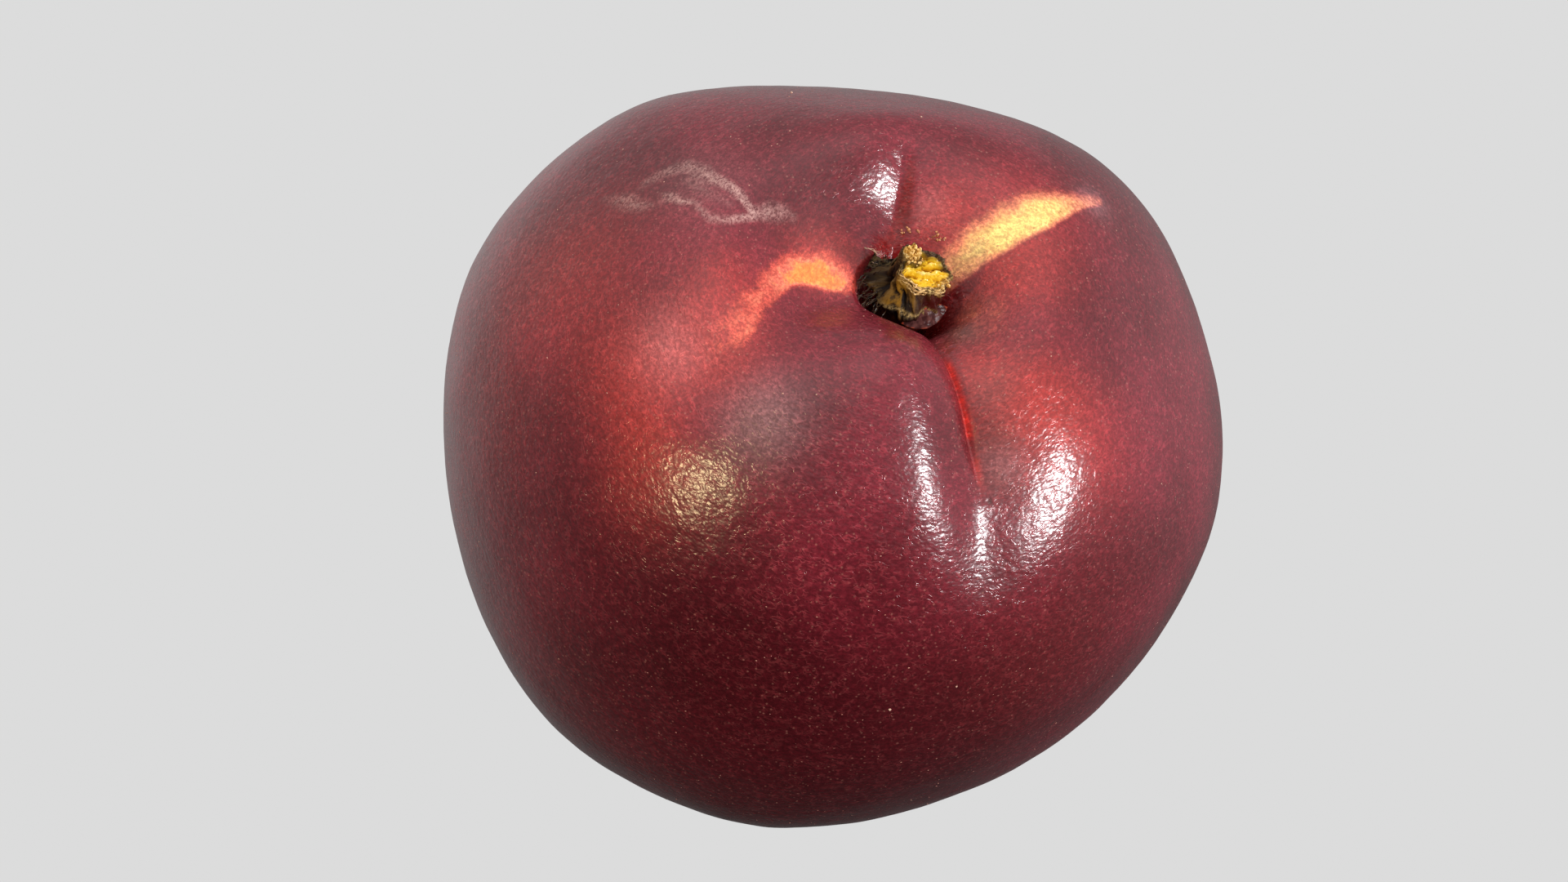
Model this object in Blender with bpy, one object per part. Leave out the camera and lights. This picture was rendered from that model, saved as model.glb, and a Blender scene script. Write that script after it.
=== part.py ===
"""A whole nectarine with the broken stub of its stem, resting on a small flat spot of its skin.

The fruit grew as one piece, so it is one solid. The stub is a piece of its own, in a socket in
the floor of the stem cavity. Both are shaped by formulas in the fruit's own frame, where +Z is
the axis from the blossom end to the stem, and the fruit then leans and is set on the ground.

A place on the fruit is a polar angle from the stem axis and a heading round it. Heading 0 is
the front (-Y), and 90 degrees is the right (+X). Lengths are in metres, angles in degrees.
"""

import bmesh
import bpy
import numpy as np
from mathutils import Matrix

# Driving dimensions of the fruit, with the height of its centre over the ground
FRUIT_RADIUS = 0.0340
FRUIT_HALF_SIZES = np.array((0.0341, 0.0328, 0.0318))
LEAN = 12.9
CENTRE_HEIGHT = 0.0313

# Swellings and flats of the fruit's outline: polar angle, heading, spread, height
LOBES = {
    "front left lobe": (34.3, -19.5, 31.2, 0.0009),
    "cavity lip": (10.4, -18.7, 10.1, 0.00246),
    "cavity left rim": (10.5, -118.0, 6.5, 0.0014),
    "right lobe": (44.4, 41.8, 24.5, 0.0006),
    "right flank": (66.0, 82.0, 24.0, 0.0008),
    "back right shoulder": (45.0, 130.0, 24.0, 0.0026),
    "back brow": (20.8, -167.0, 12.5, 0.00265),
    "back left shoulder": (59.1, -136.5, 18.0, 0.0020),
    "left shoulder": (73.0, -110.0, 22.0, 0.0022),
    "lower left belly": (107.0, -40.0, 22.0, 0.0012),
    "front belly": (107.0, -9.0, 15.0, 0.0007),
    "lower right flat": (93.0, 28.0, 24.0, -0.0011),
    "lower right side": (81.0, 57.0, 20.0, -0.0008),
    "blossom tip": (180.0, 0.0, 7.0, 0.0003),
}

# Stem cavity: a steep funnel round the stem, tightest at the front, in a wide bowl behind its left
BOWL_CENTRE = np.array((-0.0023, 0.0025))
BOWL_DEPTH = 0.0059
BOWL_RADIUS = 0.0104
BOWL_STEEPNESS = 3.0
FUNNEL_DEPTH = 0.0031
FUNNEL_TIGHT_HEADING = -50.0
FUNNEL_OPENS_BETWEEN = (70.0, 150.0)
FUNNEL_RADII = (0.00376, 0.0044)
FUNNEL_STEEPNESS = (7.0, 2.4)

# Suture: from the cavity down the front, a crease in a dip that is wider on its right
SUTURE_HEADING = 19.1
SUTURE_MIDDLE = 30.0
SUTURE_SLANT = -0.12
SUTURE_CREASE_DEPTH = 0.0013
SUTURE_CREASE_LEFT = 0.0007
SUTURE_CREASE_RIGHT = 0.0015
SUTURE_CREASE_FADES = (26.0, 37.0)
SUTURE_DIP_DEPTH = 0.0015
SUTURE_DIP_LEFT = 0.0037
SUTURE_DIP_RIGHT = 0.0072
SUTURE_DIP_FADES = (30.0, 54.0)

# Valleys that run out from the cavity: from, to, half width, depth, and 1 if sharp or 2 if round
VALLEYS = {
    "left valley": ((12.0, -75.0), (33.0, -64.0), 0.0042, 0.0010, 2),
    "back crease": ((8.0, -169.7), (20.0, -176.5), 0.0042, 0.0016, 1),
}

# Socket in the cavity floor for the stub's root
SOCKET_RADIUS = 0.0027
SOCKET_DEPTH = 0.0020
SOCKET_GAP = 0.0003

# Stub of the stem: heights over the socket's floor and radii, from the root up to the broken rim
STEM_HEIGHTS = (SOCKET_GAP, 0.0020, 0.0036, 0.0052, 0.0063, 0.0066, 0.0070, 0.0078, 0.0086, 0.0090, 0.0094)
STEM_RADII = (0.0021, 0.0021, 0.0023, 0.0024, 0.0025, 0.0026, 0.0024, 0.0022, 0.0021, 0.0022, 0.0021)
STEM_LEAVES_AXIS_AT = 0.0030
STEM_TOP_OFFSET = np.array((0.0005, 0.0000))
STEM_TOP_SCALE = np.array((1.02, 0.48))
STEM_TOP_SCALE_FROM = 0.0068
STEM_FLUTES = 7
STEM_FLUTE_DEPTH = 0.0002
STEM_FLUTE_TWIST = 40.0
STEM_FLUTES_START = (0.0040, 0.0070)

# Torn collar at the stub's foot, longest on the left
COLLAR_HEIGHT = 0.0065
COLLAR_THICKNESS = 0.0007
COLLAR_HEADING = -100.0
COLLAR_SPREAD = 50.0
COLLAR_REACH = 0.0013

# Broken top: a flattened slope that faces the front, with a knob at its back left and a low wall behind it
BREAK_RISE = 0.0011
BREAK_RISE_POWER = 3
BREAK_HIGH_HEADING = -150.0
BREAK_SAG = 0.0002
KNOB_PLACE = np.array((-0.00092, 0.00045))
KNOB_HALF_SIZES = np.array((0.00102, 0.00046))
KNOB_HEIGHT = 0.0014
KNOB_STEEPNESS = 4
WALL_HEADING = 165.0
WALL_HEIGHT = 0.0005
WALL_THICKNESS = 0.22
LIFT_STARTS = 0.86

# Mesh density
FRUIT_RINGS = 52
FRUIT_SEGMENTS = 84
SEGMENT_CROWDING = 0.7
RING_CROWDING = 1.6
STEM_RINGS = 16
STEM_SEGMENTS = 42
BREAK_RINGS = 6


def direction(polar, heading):
    """Unit vectors in the fruit's frame, for polar angles and headings in degrees."""
    polar, heading = np.broadcast_arrays(np.radians(polar), np.radians(heading))
    across = np.sin(polar)
    return np.stack([across * np.sin(heading), -across * np.cos(heading), np.cos(polar)], axis=-1)


def bump(ways, polar, heading, spread):
    """1 at one place on the fruit, falling to 0 round it over the spread in degrees."""
    nearness = np.clip(ways @ direction(polar, heading), -1.0, 1.0)
    return np.exp(-((np.degrees(np.arccos(nearness)) / spread) ** 2))


def trough(ways, start, end, half_width, roundness):
    """1 on the line from one place on the fruit to another, falling to 0 beside it."""
    first, last = direction(*start), direction(*end)
    run = last - first
    share = np.clip((ways - first) @ run / (run @ run), 0.0, 1.0)
    beside = np.linalg.norm(ways - first - share[..., None] * run, axis=-1)
    return np.exp(-((beside * FRUIT_RADIUS / half_width) ** roundness))


def fade(value, full, gone):
    """1 up to one value, 0 past another, and smooth between."""
    share = np.clip((value - gone) / (full - gone), 0.0, 1.0)
    return share * share * (3.0 - 2.0 * share)


def suture_heading(polar):
    """The suture's heading at a polar angle."""
    return SUTURE_HEADING + SUTURE_SLANT * (np.clip(polar, 0.0, 60.0) - SUTURE_MIDDLE)


def suture_drop(polar, heading):
    """How far the suture sinks the skin."""
    turn = (heading - suture_heading(polar) + 180.0) % 360.0 - 180.0
    side = FRUIT_RADIUS * np.sin(np.radians(polar)) * np.radians(turn)
    crease = np.exp(-np.abs(side) / np.where(side < 0.0, SUTURE_CREASE_LEFT, SUTURE_CREASE_RIGHT))
    dip = np.exp(-((side / np.where(side < 0.0, SUTURE_DIP_LEFT, SUTURE_DIP_RIGHT)) ** 2))
    crease_depth = SUTURE_CREASE_DEPTH * fade(polar, *SUTURE_CREASE_FADES)
    dip_depth = SUTURE_DIP_DEPTH * fade(polar, *SUTURE_DIP_FADES)
    return crease_depth * crease + dip_depth * dip


def cavity_drop(across, heading):
    """How far the stem cavity sinks the skin, for places across the stem axis."""
    turn = np.abs((heading - FUNNEL_TIGHT_HEADING + 180.0) % 360.0 - 180.0)
    tight = fade(turn, *FUNNEL_OPENS_BETWEEN)
    radius = FUNNEL_RADII[0] * tight + FUNNEL_RADII[1] * (1.0 - tight)
    steepness = FUNNEL_STEEPNESS[0] * tight + FUNNEL_STEEPNESS[1] * (1.0 - tight)
    funnel = np.exp(-((np.linalg.norm(across, axis=-1) / radius) ** steepness))
    bowl = np.exp(-((np.linalg.norm(across - BOWL_CENTRE, axis=-1) / BOWL_RADIUS) ** BOWL_STEEPNESS))
    return FUNNEL_DEPTH * funnel + BOWL_DEPTH * bowl


def skin(polar, heading):
    """Points of the skin in the fruit's frame, for polar angles and headings in degrees."""
    ways = direction(polar, heading)
    radius = 1.0 / np.linalg.norm(ways / FRUIT_HALF_SIZES, axis=-1)
    for lobe_polar, lobe_heading, spread, height in LOBES.values():
        radius += height * bump(ways, lobe_polar, lobe_heading, spread)
    for start, end, half_width, depth, roundness in VALLEYS.values():
        radius -= depth * trough(ways, start, end, half_width, roundness)
    radius -= suture_drop(polar, heading)
    points = radius[..., None] * ways
    points[..., 2] -= np.where(ways[..., 2] > 0.0, cavity_drop(points[..., :2], heading), 0.0)
    return points


def skin_grid(rings, segments):
    """Polar angles and headings of the skin's rings, crowded at the cavity and the creases."""
    first = np.degrees(np.arcsin(SOCKET_RADIUS / FRUIT_HALF_SIZES[2]))
    step = np.linspace(0.0, 1.0, rings, endpoint=False)
    polar = first + (180.0 - first) * step**RING_CROWDING
    turn = np.linspace(-np.pi, np.pi, segments, endpoint=False)
    crowded = np.degrees(turn - 0.5 * SEGMENT_CROWDING * np.sin(2.0 * turn))
    near_suture = np.cos(0.5 * turn) ** 2
    polar, crowded = np.meshgrid(polar, crowded, indexing="ij")
    return polar, crowded + suture_heading(polar) * near_suture


def join_rings(mesh, rings):
    """Quads between each ring of vertices and the next."""
    for upper, lower in zip(rings, rings[1:]):
        for i in range(len(upper)):
            k = (i + 1) % len(upper)
            mesh.faces.new((upper[i], lower[i], lower[k], upper[k]))


def close_with_point(mesh, ring, point):
    """Triangles from a ring of vertices to one point."""
    tip = mesh.verts.new(point)
    for i in range(len(ring)):
        mesh.faces.new((ring[i], ring[(i + 1) % len(ring)], tip))


def finish(mesh, name, material):
    """The mesh as a smooth shaded object in the scene."""
    bmesh.ops.recalc_face_normals(mesh, faces=mesh.faces)
    data = bpy.data.meshes.new(name)
    mesh.to_mesh(data)
    mesh.free()
    data.shade_smooth()
    data.materials.append(material)
    part = bpy.data.objects.new(name, data)
    bpy.context.scene.collection.objects.link(part)
    return part


def plain_material(name, colour, roughness):
    """A plain material in one linear colour."""
    material = bpy.data.materials.new(name)
    material.use_nodes = True
    shader = material.node_tree.nodes["Principled BSDF"]
    shader.inputs["Base Color"].default_value = (*colour, 1.0)
    shader.inputs["Roughness"].default_value = roughness
    return material


def make_fruit(floor):
    """The fruit, with its socket, in the fruit's own frame."""
    mesh = bmesh.new()
    points = skin(*skin_grid(FRUIT_RINGS, FRUIT_SEGMENTS))
    rings = [[mesh.verts.new(point) for point in ring] for ring in points]
    bottom = [mesh.verts.new((vertex.co.x, vertex.co.y, floor)) for vertex in rings[0]]
    close_with_point(mesh, bottom, (0.0, 0.0, floor))
    join_rings(mesh, [bottom, *rings])
    close_with_point(mesh, rings[-1], skin(180.0, 0.0))
    return finish(mesh, "fruit", plain_material("skin", (0.155, 0.016, 0.023), 0.35))


def stem_side(share, heading):
    """Points of the stub's side over the socket's floor, from the root at 0 to the rim at 1."""
    height = STEM_HEIGHTS[0] + share * (STEM_HEIGHTS[-1] - STEM_HEIGHTS[0])
    radius = np.interp(height, STEM_HEIGHTS, STEM_RADII)
    flutes = np.cos(np.radians(STEM_FLUTES * heading + STEM_FLUTE_TWIST * share))
    radius += STEM_FLUTE_DEPTH * (1.0 - fade(height, *STEM_FLUTES_START)) * flutes
    turn = (heading - COLLAR_HEADING + 180.0) % 360.0 - 180.0
    at_collar = np.exp(-(((height - COLLAR_HEIGHT) / COLLAR_THICKNESS) ** 2))
    radius += COLLAR_REACH * at_collar * np.exp(-((turn / COLLAR_SPREAD) ** 2))
    points = radius[..., None] * direction(90.0, heading)
    flat = 1.0 - fade(height, STEM_TOP_SCALE_FROM, STEM_HEIGHTS[-1])
    points[..., :2] *= 1.0 + flat[..., None] * (STEM_TOP_SCALE - 1.0)
    clear = np.clip(height - STEM_LEAVES_AXIS_AT, 0.0, None) / (STEM_HEIGHTS[-1] - STEM_LEAVES_AXIS_AT)
    points[..., :2] += STEM_TOP_OFFSET * clear[..., None]
    rise = BREAK_RISE * share**BREAK_RISE_POWER * np.cos(np.radians(heading - BREAK_HIGH_HEADING))
    points[..., 2] = height + rise
    return points


def make_stem(floor):
    """The stub: a fluted side over a plain root, a torn collar and a broken top with a knob and a wall."""
    heading = np.linspace(-180.0, 180.0, STEM_SEGMENTS, endpoint=False)
    share, around = np.meshgrid(np.linspace(0.0, 1.0, STEM_RINGS), heading, indexing="ij")
    side = stem_side(share, around)
    rim = side[-1]
    middle = rim.mean(axis=0)
    outward = np.linspace(1.0, 0.0, BREAK_RINGS, endpoint=False)[1:, None] * np.ones(STEM_SEGMENTS)
    top = middle + outward[..., None] * (rim - middle)
    top[..., 2] -= BREAK_SAG * (1.0 - outward**2)
    tip = np.broadcast_to(middle - (0.0, 0.0, BREAK_SAG), (1, *rim.shape))
    outward = np.concatenate([outward, np.zeros((1, STEM_SEGMENTS))])
    points = np.concatenate([side, top, tip])
    lifted = fade(share, 1.0, LIFT_STARTS)
    from_knob = np.linalg.norm((points[..., :2] - KNOB_PLACE) / KNOB_HALF_SIZES, axis=-1)
    knob = np.exp(-(from_knob**KNOB_STEEPNESS)) * np.concatenate([lifted, np.ones(outward.shape)])
    at_rim = np.concatenate([lifted, np.exp(-(((1.0 - outward) / WALL_THICKNESS) ** 2))])
    wall = at_rim * np.clip(np.cos(np.radians(heading - WALL_HEADING)), 0.0, None)
    points[..., 2] += KNOB_HEIGHT * knob + WALL_HEIGHT * wall * (1.0 - knob)
    points[..., 2] += floor
    mesh = bmesh.new()
    rings = [[mesh.verts.new(point) for point in ring] for ring in points[:-1]]
    join_rings(mesh, rings)
    close_with_point(mesh, rings[0], (0.0, 0.0, points[0, 0, 2]))
    close_with_point(mesh, rings[-1], points[-1, 0])
    return finish(mesh, "stem", plain_material("stem", (0.20, 0.12, 0.03), 0.4))


def cut_rest_spot(part):
    """Replaces the skin below the ground by a flat face."""
    mesh = bmesh.new()
    mesh.from_mesh(part.data)
    everything = [*mesh.verts, *mesh.edges, *mesh.faces]
    down = (0.0, 0.0, -1.0)
    cut = bmesh.ops.bisect_plane(mesh, geom=everything, plane_no=down, clear_outer=True)
    rim = [element for element in cut["geom_cut"] if isinstance(element, bmesh.types.BMEdge)]
    bmesh.ops.edgeloop_fill(mesh, edges=rim)
    bmesh.ops.recalc_face_normals(mesh, faces=mesh.faces)
    mesh.to_mesh(part.data)
    mesh.free()


def main():
    """Clears the scene, makes both pieces, and leans them and sets them on the ground."""
    for old in list(bpy.data.objects):
        bpy.data.objects.remove(old)
    floor = skin(*skin_grid(FRUIT_RINGS, FRUIT_SEGMENTS))[0, :, 2].min() - SOCKET_DEPTH
    fruit = make_fruit(floor)
    stem = make_stem(floor)
    for part in (fruit, stem):
        part.data.transform(Matrix.Rotation(np.radians(LEAN), 4, "Y"))
        part.data.transform(Matrix.Translation((0.0, 0.0, CENTRE_HEIGHT)))
    cut_rest_spot(fruit)


main()
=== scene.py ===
"""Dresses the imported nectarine: a fine skin with its colours, the broken stub, and a studio."""

import bmesh
import bpy
import numpy as np
from bpy.props import FloatProperty, FloatVectorProperty, IntProperty, PointerProperty
from mathutils import Matrix, Vector, noise


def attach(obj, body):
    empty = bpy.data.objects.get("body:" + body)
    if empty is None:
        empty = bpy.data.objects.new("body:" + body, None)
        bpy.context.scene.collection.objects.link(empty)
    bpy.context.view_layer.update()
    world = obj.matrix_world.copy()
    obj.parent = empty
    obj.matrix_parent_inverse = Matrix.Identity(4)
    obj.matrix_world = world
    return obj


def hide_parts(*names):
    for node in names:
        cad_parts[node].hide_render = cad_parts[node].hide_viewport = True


bl_info = {
    "name": "Nectarine",
    "version": (1, 0, 0),
    "blender": (4, 5, 0),
    "location": "3D View > Sidebar > Nectarine",
    "description": "Builds a ripe nectarine with its broken stem and a studio round it",
    "category": "Add Mesh",
}

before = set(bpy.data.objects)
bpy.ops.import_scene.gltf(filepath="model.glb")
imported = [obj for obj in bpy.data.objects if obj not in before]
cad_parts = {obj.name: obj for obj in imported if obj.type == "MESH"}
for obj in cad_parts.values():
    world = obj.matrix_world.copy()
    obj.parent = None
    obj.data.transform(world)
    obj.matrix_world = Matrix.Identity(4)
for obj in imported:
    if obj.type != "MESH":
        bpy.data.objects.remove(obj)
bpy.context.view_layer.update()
BODY = "root"
MM = 0.001

# The fruit's own shape, as the solids have it
FRUIT_RADIUS = 0.0340
FRUIT_HALF_SIZES = np.array((0.0341, 0.0328, 0.0318))
LEAN = 12.9
CENTRE_HEIGHT = 0.0313
LOBES = {
    "front left lobe": (34.3, -19.5, 31.2, 0.0009),
    "cavity lip": (10.4, -18.7, 10.1, 0.00246),
    "cavity left rim": (10.5, -118.0, 6.5, 0.0014),
    "right lobe": (44.4, 41.8, 24.5, 0.0006),
    "right flank": (66.0, 82.0, 24.0, 0.0008),
    "back right shoulder": (45.0, 130.0, 24.0, 0.0026),
    "back brow": (20.8, -167.0, 12.5, 0.00265),
    "back left shoulder": (59.1, -136.5, 18.0, 0.0020),
    "left shoulder": (73.0, -110.0, 22.0, 0.0022),
    "lower left belly": (107.0, -40.0, 22.0, 0.0012),
    "front belly": (107.0, -9.0, 15.0, 0.0007),
    "lower right flat": (93.0, 28.0, 24.0, -0.0011),
    "lower right side": (81.0, 57.0, 20.0, -0.0008),
    "blossom tip": (180.0, 0.0, 7.0, 0.0003),
}
BOWL_CENTRE = np.array((-0.0023, 0.0025))
BOWL_DEPTH = 0.0059
BOWL_RADIUS = 0.0104
BOWL_STEEPNESS = 3.0
FUNNEL_DEPTH = 0.0031
FUNNEL_TIGHT_HEADING = -50.0
FUNNEL_OPENS_BETWEEN = (70.0, 150.0)
FUNNEL_RADII = (0.00376, 0.0044)
FUNNEL_STEEPNESS = (7.0, 2.4)
SUTURE_HEADING = 19.1
SUTURE_MIDDLE = 30.0
SUTURE_SLANT = -0.12
# Crease and dip of the suture: depth, half width to its left and right, polar angles where it fades
SUTURE_CREASE = (0.0013, 0.0007, 0.0015, 26.0, 37.0)
SUTURE_DIP = (0.0015, 0.0037, 0.0072, 30.0, 54.0)
VALLEYS = {
    "left valley": ((12.0, -75.0), (33.0, -64.0), 0.0042, 0.0010, 2),
    "back crease": ((8.0, -169.7), (20.0, -176.5), 0.0042, 0.0016, 1),
}
SOCKET_RADIUS = 0.0027
SOCKET_DEPTH = 0.0020
SOCKET_GAP = 0.0003
SEGMENT_CROWDING = 0.45
RING_CROWDING = 1.6

# The stub's own shape, as the solids have it
STEM_HEIGHTS = (SOCKET_GAP, 0.0020, 0.0036, 0.0052, 0.0063, 0.0066, 0.0070, 0.0078, 0.0086, 0.0090, 0.0094)
STEM_RADII = (0.0021, 0.0021, 0.0023, 0.0024, 0.0025, 0.0026, 0.0024, 0.0022, 0.0021, 0.0022, 0.0021)
STEM_LEAVES_AXIS_AT = 0.0030
STEM_TOP_OFFSET = np.array((0.0005, 0.0000))
STEM_TOP_SCALE = np.array((1.02, 0.48))
STEM_TOP_SCALE_FROM = 0.0068
STEM_FLUTES = 7
STEM_FLUTE_DEPTH = 0.0002
STEM_FLUTE_TWIST = 40.0
STEM_FLUTES_START = (0.0040, 0.0070)
COLLAR_HEIGHT = 0.0065
COLLAR_THICKNESS = 0.0007
COLLAR_HEADING = -100.0
COLLAR_SPREAD = 50.0
COLLAR_REACH = 0.0013
BREAK_RISE = 0.0011
BREAK_RISE_POWER = 3
BREAK_HIGH_HEADING = -150.0
BREAK_SAG = 0.0002
KNOB_PLACE = np.array((-0.00092, 0.00045))
KNOB_HALF_SIZES = np.array((0.00102, 0.00046))
KNOB_HEIGHT = 0.0014
KNOB_STEEPNESS = 4
WALL_HEADING = 165.0
WALL_HEIGHT = 0.0005
WALL_THICKNESS = 0.22
LIFT_STARTS = 0.86

# The pale lump at the right end of the rim, on the fine stub alone
RIM_END = np.array((0.0024, -0.0005))
RIM_END_HALF_SIZES = np.array((0.0006, 0.0004))
RIM_END_HEIGHT = 0.0004

# Warm streaks of the skin, partly its yellow ground colour and partly a painted pool of sunlight at their
# bright cores, each a chain of places: polar angle, heading, half width in mm, warmth
GOLD_STREAK = (
    (8.5, 128.0, 1.5, 0.38), (10.8, 129.0, 1.6, 0.58), (13.5, 128.5, 1.7, 0.74),
    (16.2, 127.0, 1.7, 0.84), (22.4, 125.0, 1.55, 0.86), (26.1, 124.4, 1.2, 0.66),
    (29.5, 124.0, 0.85, 0.42), (33.5, 123.0, 0.6, 0.25),
)
FLAME_STREAK = (
    (8.6, -91.0, 1.1, 0.34), (10.2, -96.0, 1.3, 0.6), (12.5, -98.5, 1.4, 0.8),
    (15.2, -97.0, 1.3, 0.78), (18.0, -92.0, 1.2, 0.58), (21.6, -80.5, 1.15, 0.38),
    (25.7, -71.0, 1.45, 0.37), (28.5, -67.0, 1.9, 0.34), (31.5, -65.0, 2.3, 0.2),
    (35.5, -67.0, 2.8, 0.08),
)
# Orange-brown tints beside the stub, given as the patches below
TINTS = {
    "right of the stub": (10.5, 75.0, 4.5, 0.21),
    "foot of the right lobe": (14.5, 52.0, 4.5, 0.09),
    "top of the suture strip": (21.5, 38.0, 5.0, 0.09),
    "behind the stub": (13.5, 150.0, 3.0, 0.14),
}
# Softer red patches: polar angle, heading, spread in degrees, redness
FLUSHES = {
    "right of the suture": (24.5, 42.0, 7.5, 0.60),
    "foot of that": (16.0, 33.0, 4.5, 0.45),
    "down the right lobe": (34.0, 46.0, 9.0, 0.45),
    "outer left": (44.0, -68.0, 8.0, 0.55),
    "lower left": (46.0, -55.0, 6.0, 0.35),
    "over the left streak": (14.0, -106.0, 5.0, 0.60),
    "left rim of the cavity": (9.2, -106.0, 3.5, 0.60),
    "left streak's end": (32.0, -66.0, 7.5, 0.80),
    "past the left streak": (27.0, -84.0, 6.0, 0.40),
    "round the right streak": (18.0, 128.0, 9.0, 0.55),
    "right of the stub": (15.0, 95.0, 6.5, 0.45),
    "behind the stub": (14.0, 160.0, 4.5, 0.50),
    "left shoulder": (51.0, -92.0, 13.0, 0.40),
    "left flank": (70.0, -76.0, 12.0, 0.10),
    "under the golden light": (51.0, -50.0, 7.0, 0.30),
    "front right": (61.0, 31.0, 17.0, 0.08),
}
# Painted shade: darker, duller places of the skin, most of them low on the fruit where less light falls
PAINTED_SHADE_PATCHES = {
    "lower front left": (63.0, -25.0, 15.0, 0.75),
    "lower left": (80.0, -42.0, 13.0, 0.45),
    "back middle": (30.0, -150.0, 12.0, 0.20),
    "lower front": (70.0, 10.0, 22.0, 0.75),
    "lowest": (98.0, 0.0, 34.0, 0.90),
    "lower right": (62.0, 32.0, 14.0, 0.30),
    "middle left": (58.0, -36.0, 9.0, 0.25),
}
# A faint groove that goes on below the crease: where it starts and ends, depth, half width
GROOVE_SPAN = (29.0, 36.0, 42.0, 52.0)
GROOVE_DEPTH = 0.00022
GROOVE_HALF_WIDTH = 0.0023
# The skin's fine ripples are drawn out round the fruit and its colours from stem to tip: 1 is not at all
WEAVE_STRETCH = 0.75
FLOW_STRETCH = 0.28
# Deep red of the crease behind the stem and of the hollow at its foot, darkened there as painted shade, as
# the streaks are given
BACK_CREASE = (
    (6.0, -160.0, 1.3, 1.0), (8.6, -166.0, 1.1, 1.0), (10.4, -173.2, 0.75, 0.95),
    (12.4, -178.0, 0.6, 0.9), (15.0, -179.5, 0.5, 0.9), (17.7, 179.8, 0.45, 0.75),
    (20.5, 179.5, 0.4, 0.4), (22.5, 179.5, 0.3, 0.1),
)
# A pale scar on the left shoulder: chains of polar angle, heading, half width in mm, strength
SCARS = (
    (
        (43.3, -113.5, 0.75, 0.5), (41.3, -117.2, 0.85, 0.56), (38.9, -120.0, 0.95, 0.66),
        (36.2, -119.8, 0.9, 0.7), (33.5, -118.5, 0.65, 0.84), (30.7, -117.8, 0.5, 1.0),
        (28.4, -116.8, 0.45, 1.0), (25.0, -112.8, 0.35, 0.95),
    ),
    (
        (39.5, -110.5, 0.5, 0.56), (38.3, -110.2, 0.5, 0.8), (36.1, -109.2, 0.45, 0.8),
        (34.5, -109.5, 0.4, 0.68), (32.7, -107.2, 0.45, 0.64), (30.8, -105.0, 0.6, 0.66),
        (28.4, -106.0, 0.55, 0.76), (24.7, -112.0, 0.4, 0.92),
    ),
    (
        (25.0, -112.8, 0.75, 0.7), (23.0, -117.8, 1.1, 0.68), (21.4, -120.5, 1.0, 0.62),
        (19.7, -121.5, 0.7, 0.5),
    ),
    (
        (48.5, -109.5, 0.8, 0.46), (44.9, -108.5, 1.2, 0.62), (42.8, -107.5, 1.0, 0.6),
        (39.5, -107.3, 0.7, 0.4),
    ),
    (
        (36.5, -116.5, 1.1, 0.5), (33.0, -113.0, 1.0, 0.44), (29.0, -112.0, 0.7, 0.44),
    ),
)
# Painted sheen on the skin, a greyish reflection added to its colour: polar angle, heading, spread in
# degrees, strength
PAINTED_SHEEN_PATCHES = {
    "left lobe": (33.0, -41.0, 5.5, 0.65),
    "suture strip": (31.5, 26.8, 3.2, 0.45),
    "past the left streak": (37.5, -70.0, 5.5, 0.40),
    "right streak's tip": (32.5, 123.0, 2.6, 0.50),
    "behind the stub": (15.0, 167.0, 2.6, 0.30),
    "round the scar": (35.0, -116.0, 7.0, 0.22),
    "left edge": (66.0, -98.0, 12.0, 0.15),
}
# Lone pale flecks on the skin: polar angle, heading
FLECKS = ((37.0, -133.2), (30.0, 176.5), (44.7, -157.5), (25.9, -33.5), (62.2, 12.8), (66.0, 3.0))
# Dull brown patches in the skin's colour: painted shade beside the stub, and painted dull reflection along
# the suture strip and on the left lobe
PAINTED_SHADE_AND_DULL_SHEEN = {
    "beside the stub": (8.8, 80.0, 2.0, 0.50),
    "foot of the right lobe": (10.0, 48.0, 2.8, 0.70),
    "suture strip": (27.5, 27.5, 3.6, 0.28),
    "right of the crease": (21.0, 33.0, 3.5, 0.30),
    "suture strip end": (33.5, 23.5, 3.0, 0.30),
    "pale patch": (33.3, -41.0, 4.5, 0.30),
}
# The brow behind the stem steepens a little: its middle, its reach in polar angle and heading, its height
BROW_STEP = (17.3, -168.0, 6.0, 14.0)
BROW_STEP_HEIGHT = 0.00085

# Rings and segments of the solid's skin, whose first ring sets the socket's floor
SOLID_GRID = (52, 84)
# Unevenness: size of a wave in metres, octaves, seed, and for the bark its twist in degrees a millimetre
BROAD_SWELL = (0.0065, 2, 3.0)
FINE_SWELL = (0.0022, 2, 11.0)
FINE_SWELL_SHARE = 0.35
FURROWS = (0.00050, 3, 5.0, 13.0)
SHREDS = (0.00030, 2, 17.0, 4.0)
LUMPS = (0.0010, 2, 8.0)
RIDGES = (0.00044, 4, 21.0)
RIDGE_STRETCH = (0.55, 1.25, 1.0)
RAGGED = (0.00038, 2, 33.0)
# The bark's noise is read on a tube of this radius in metres, and its heights shortened to this share
FIBRE_RADIUS = 0.0024
FIBRE_STRETCH = 0.22
# Where on the stub each feature lies: heights in metres between which it fades, headings and their spreads
BARK_STARTS = (0.0040, 0.0056)
SHREDS_BESIDE = (-105.0, 42.0)
SHREDS_FADE = (0.0076, 0.0088)
FLARE_THICKNESS = 0.0008
RIM_BESIDE = (30.0, 80.0)
RIM_END_STARTS = (0.0070, 0.0082)
RIM_END_PALE_FROM = 0.0075
# Where the painted shade at the stub's foot fades
SHADED_FOOT_FADES = (0.0050, 0.0064)
OCHRE_SIDES = ((1.0, -44.0, 15.0), (0.5, -9.0, 7.0))
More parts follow.
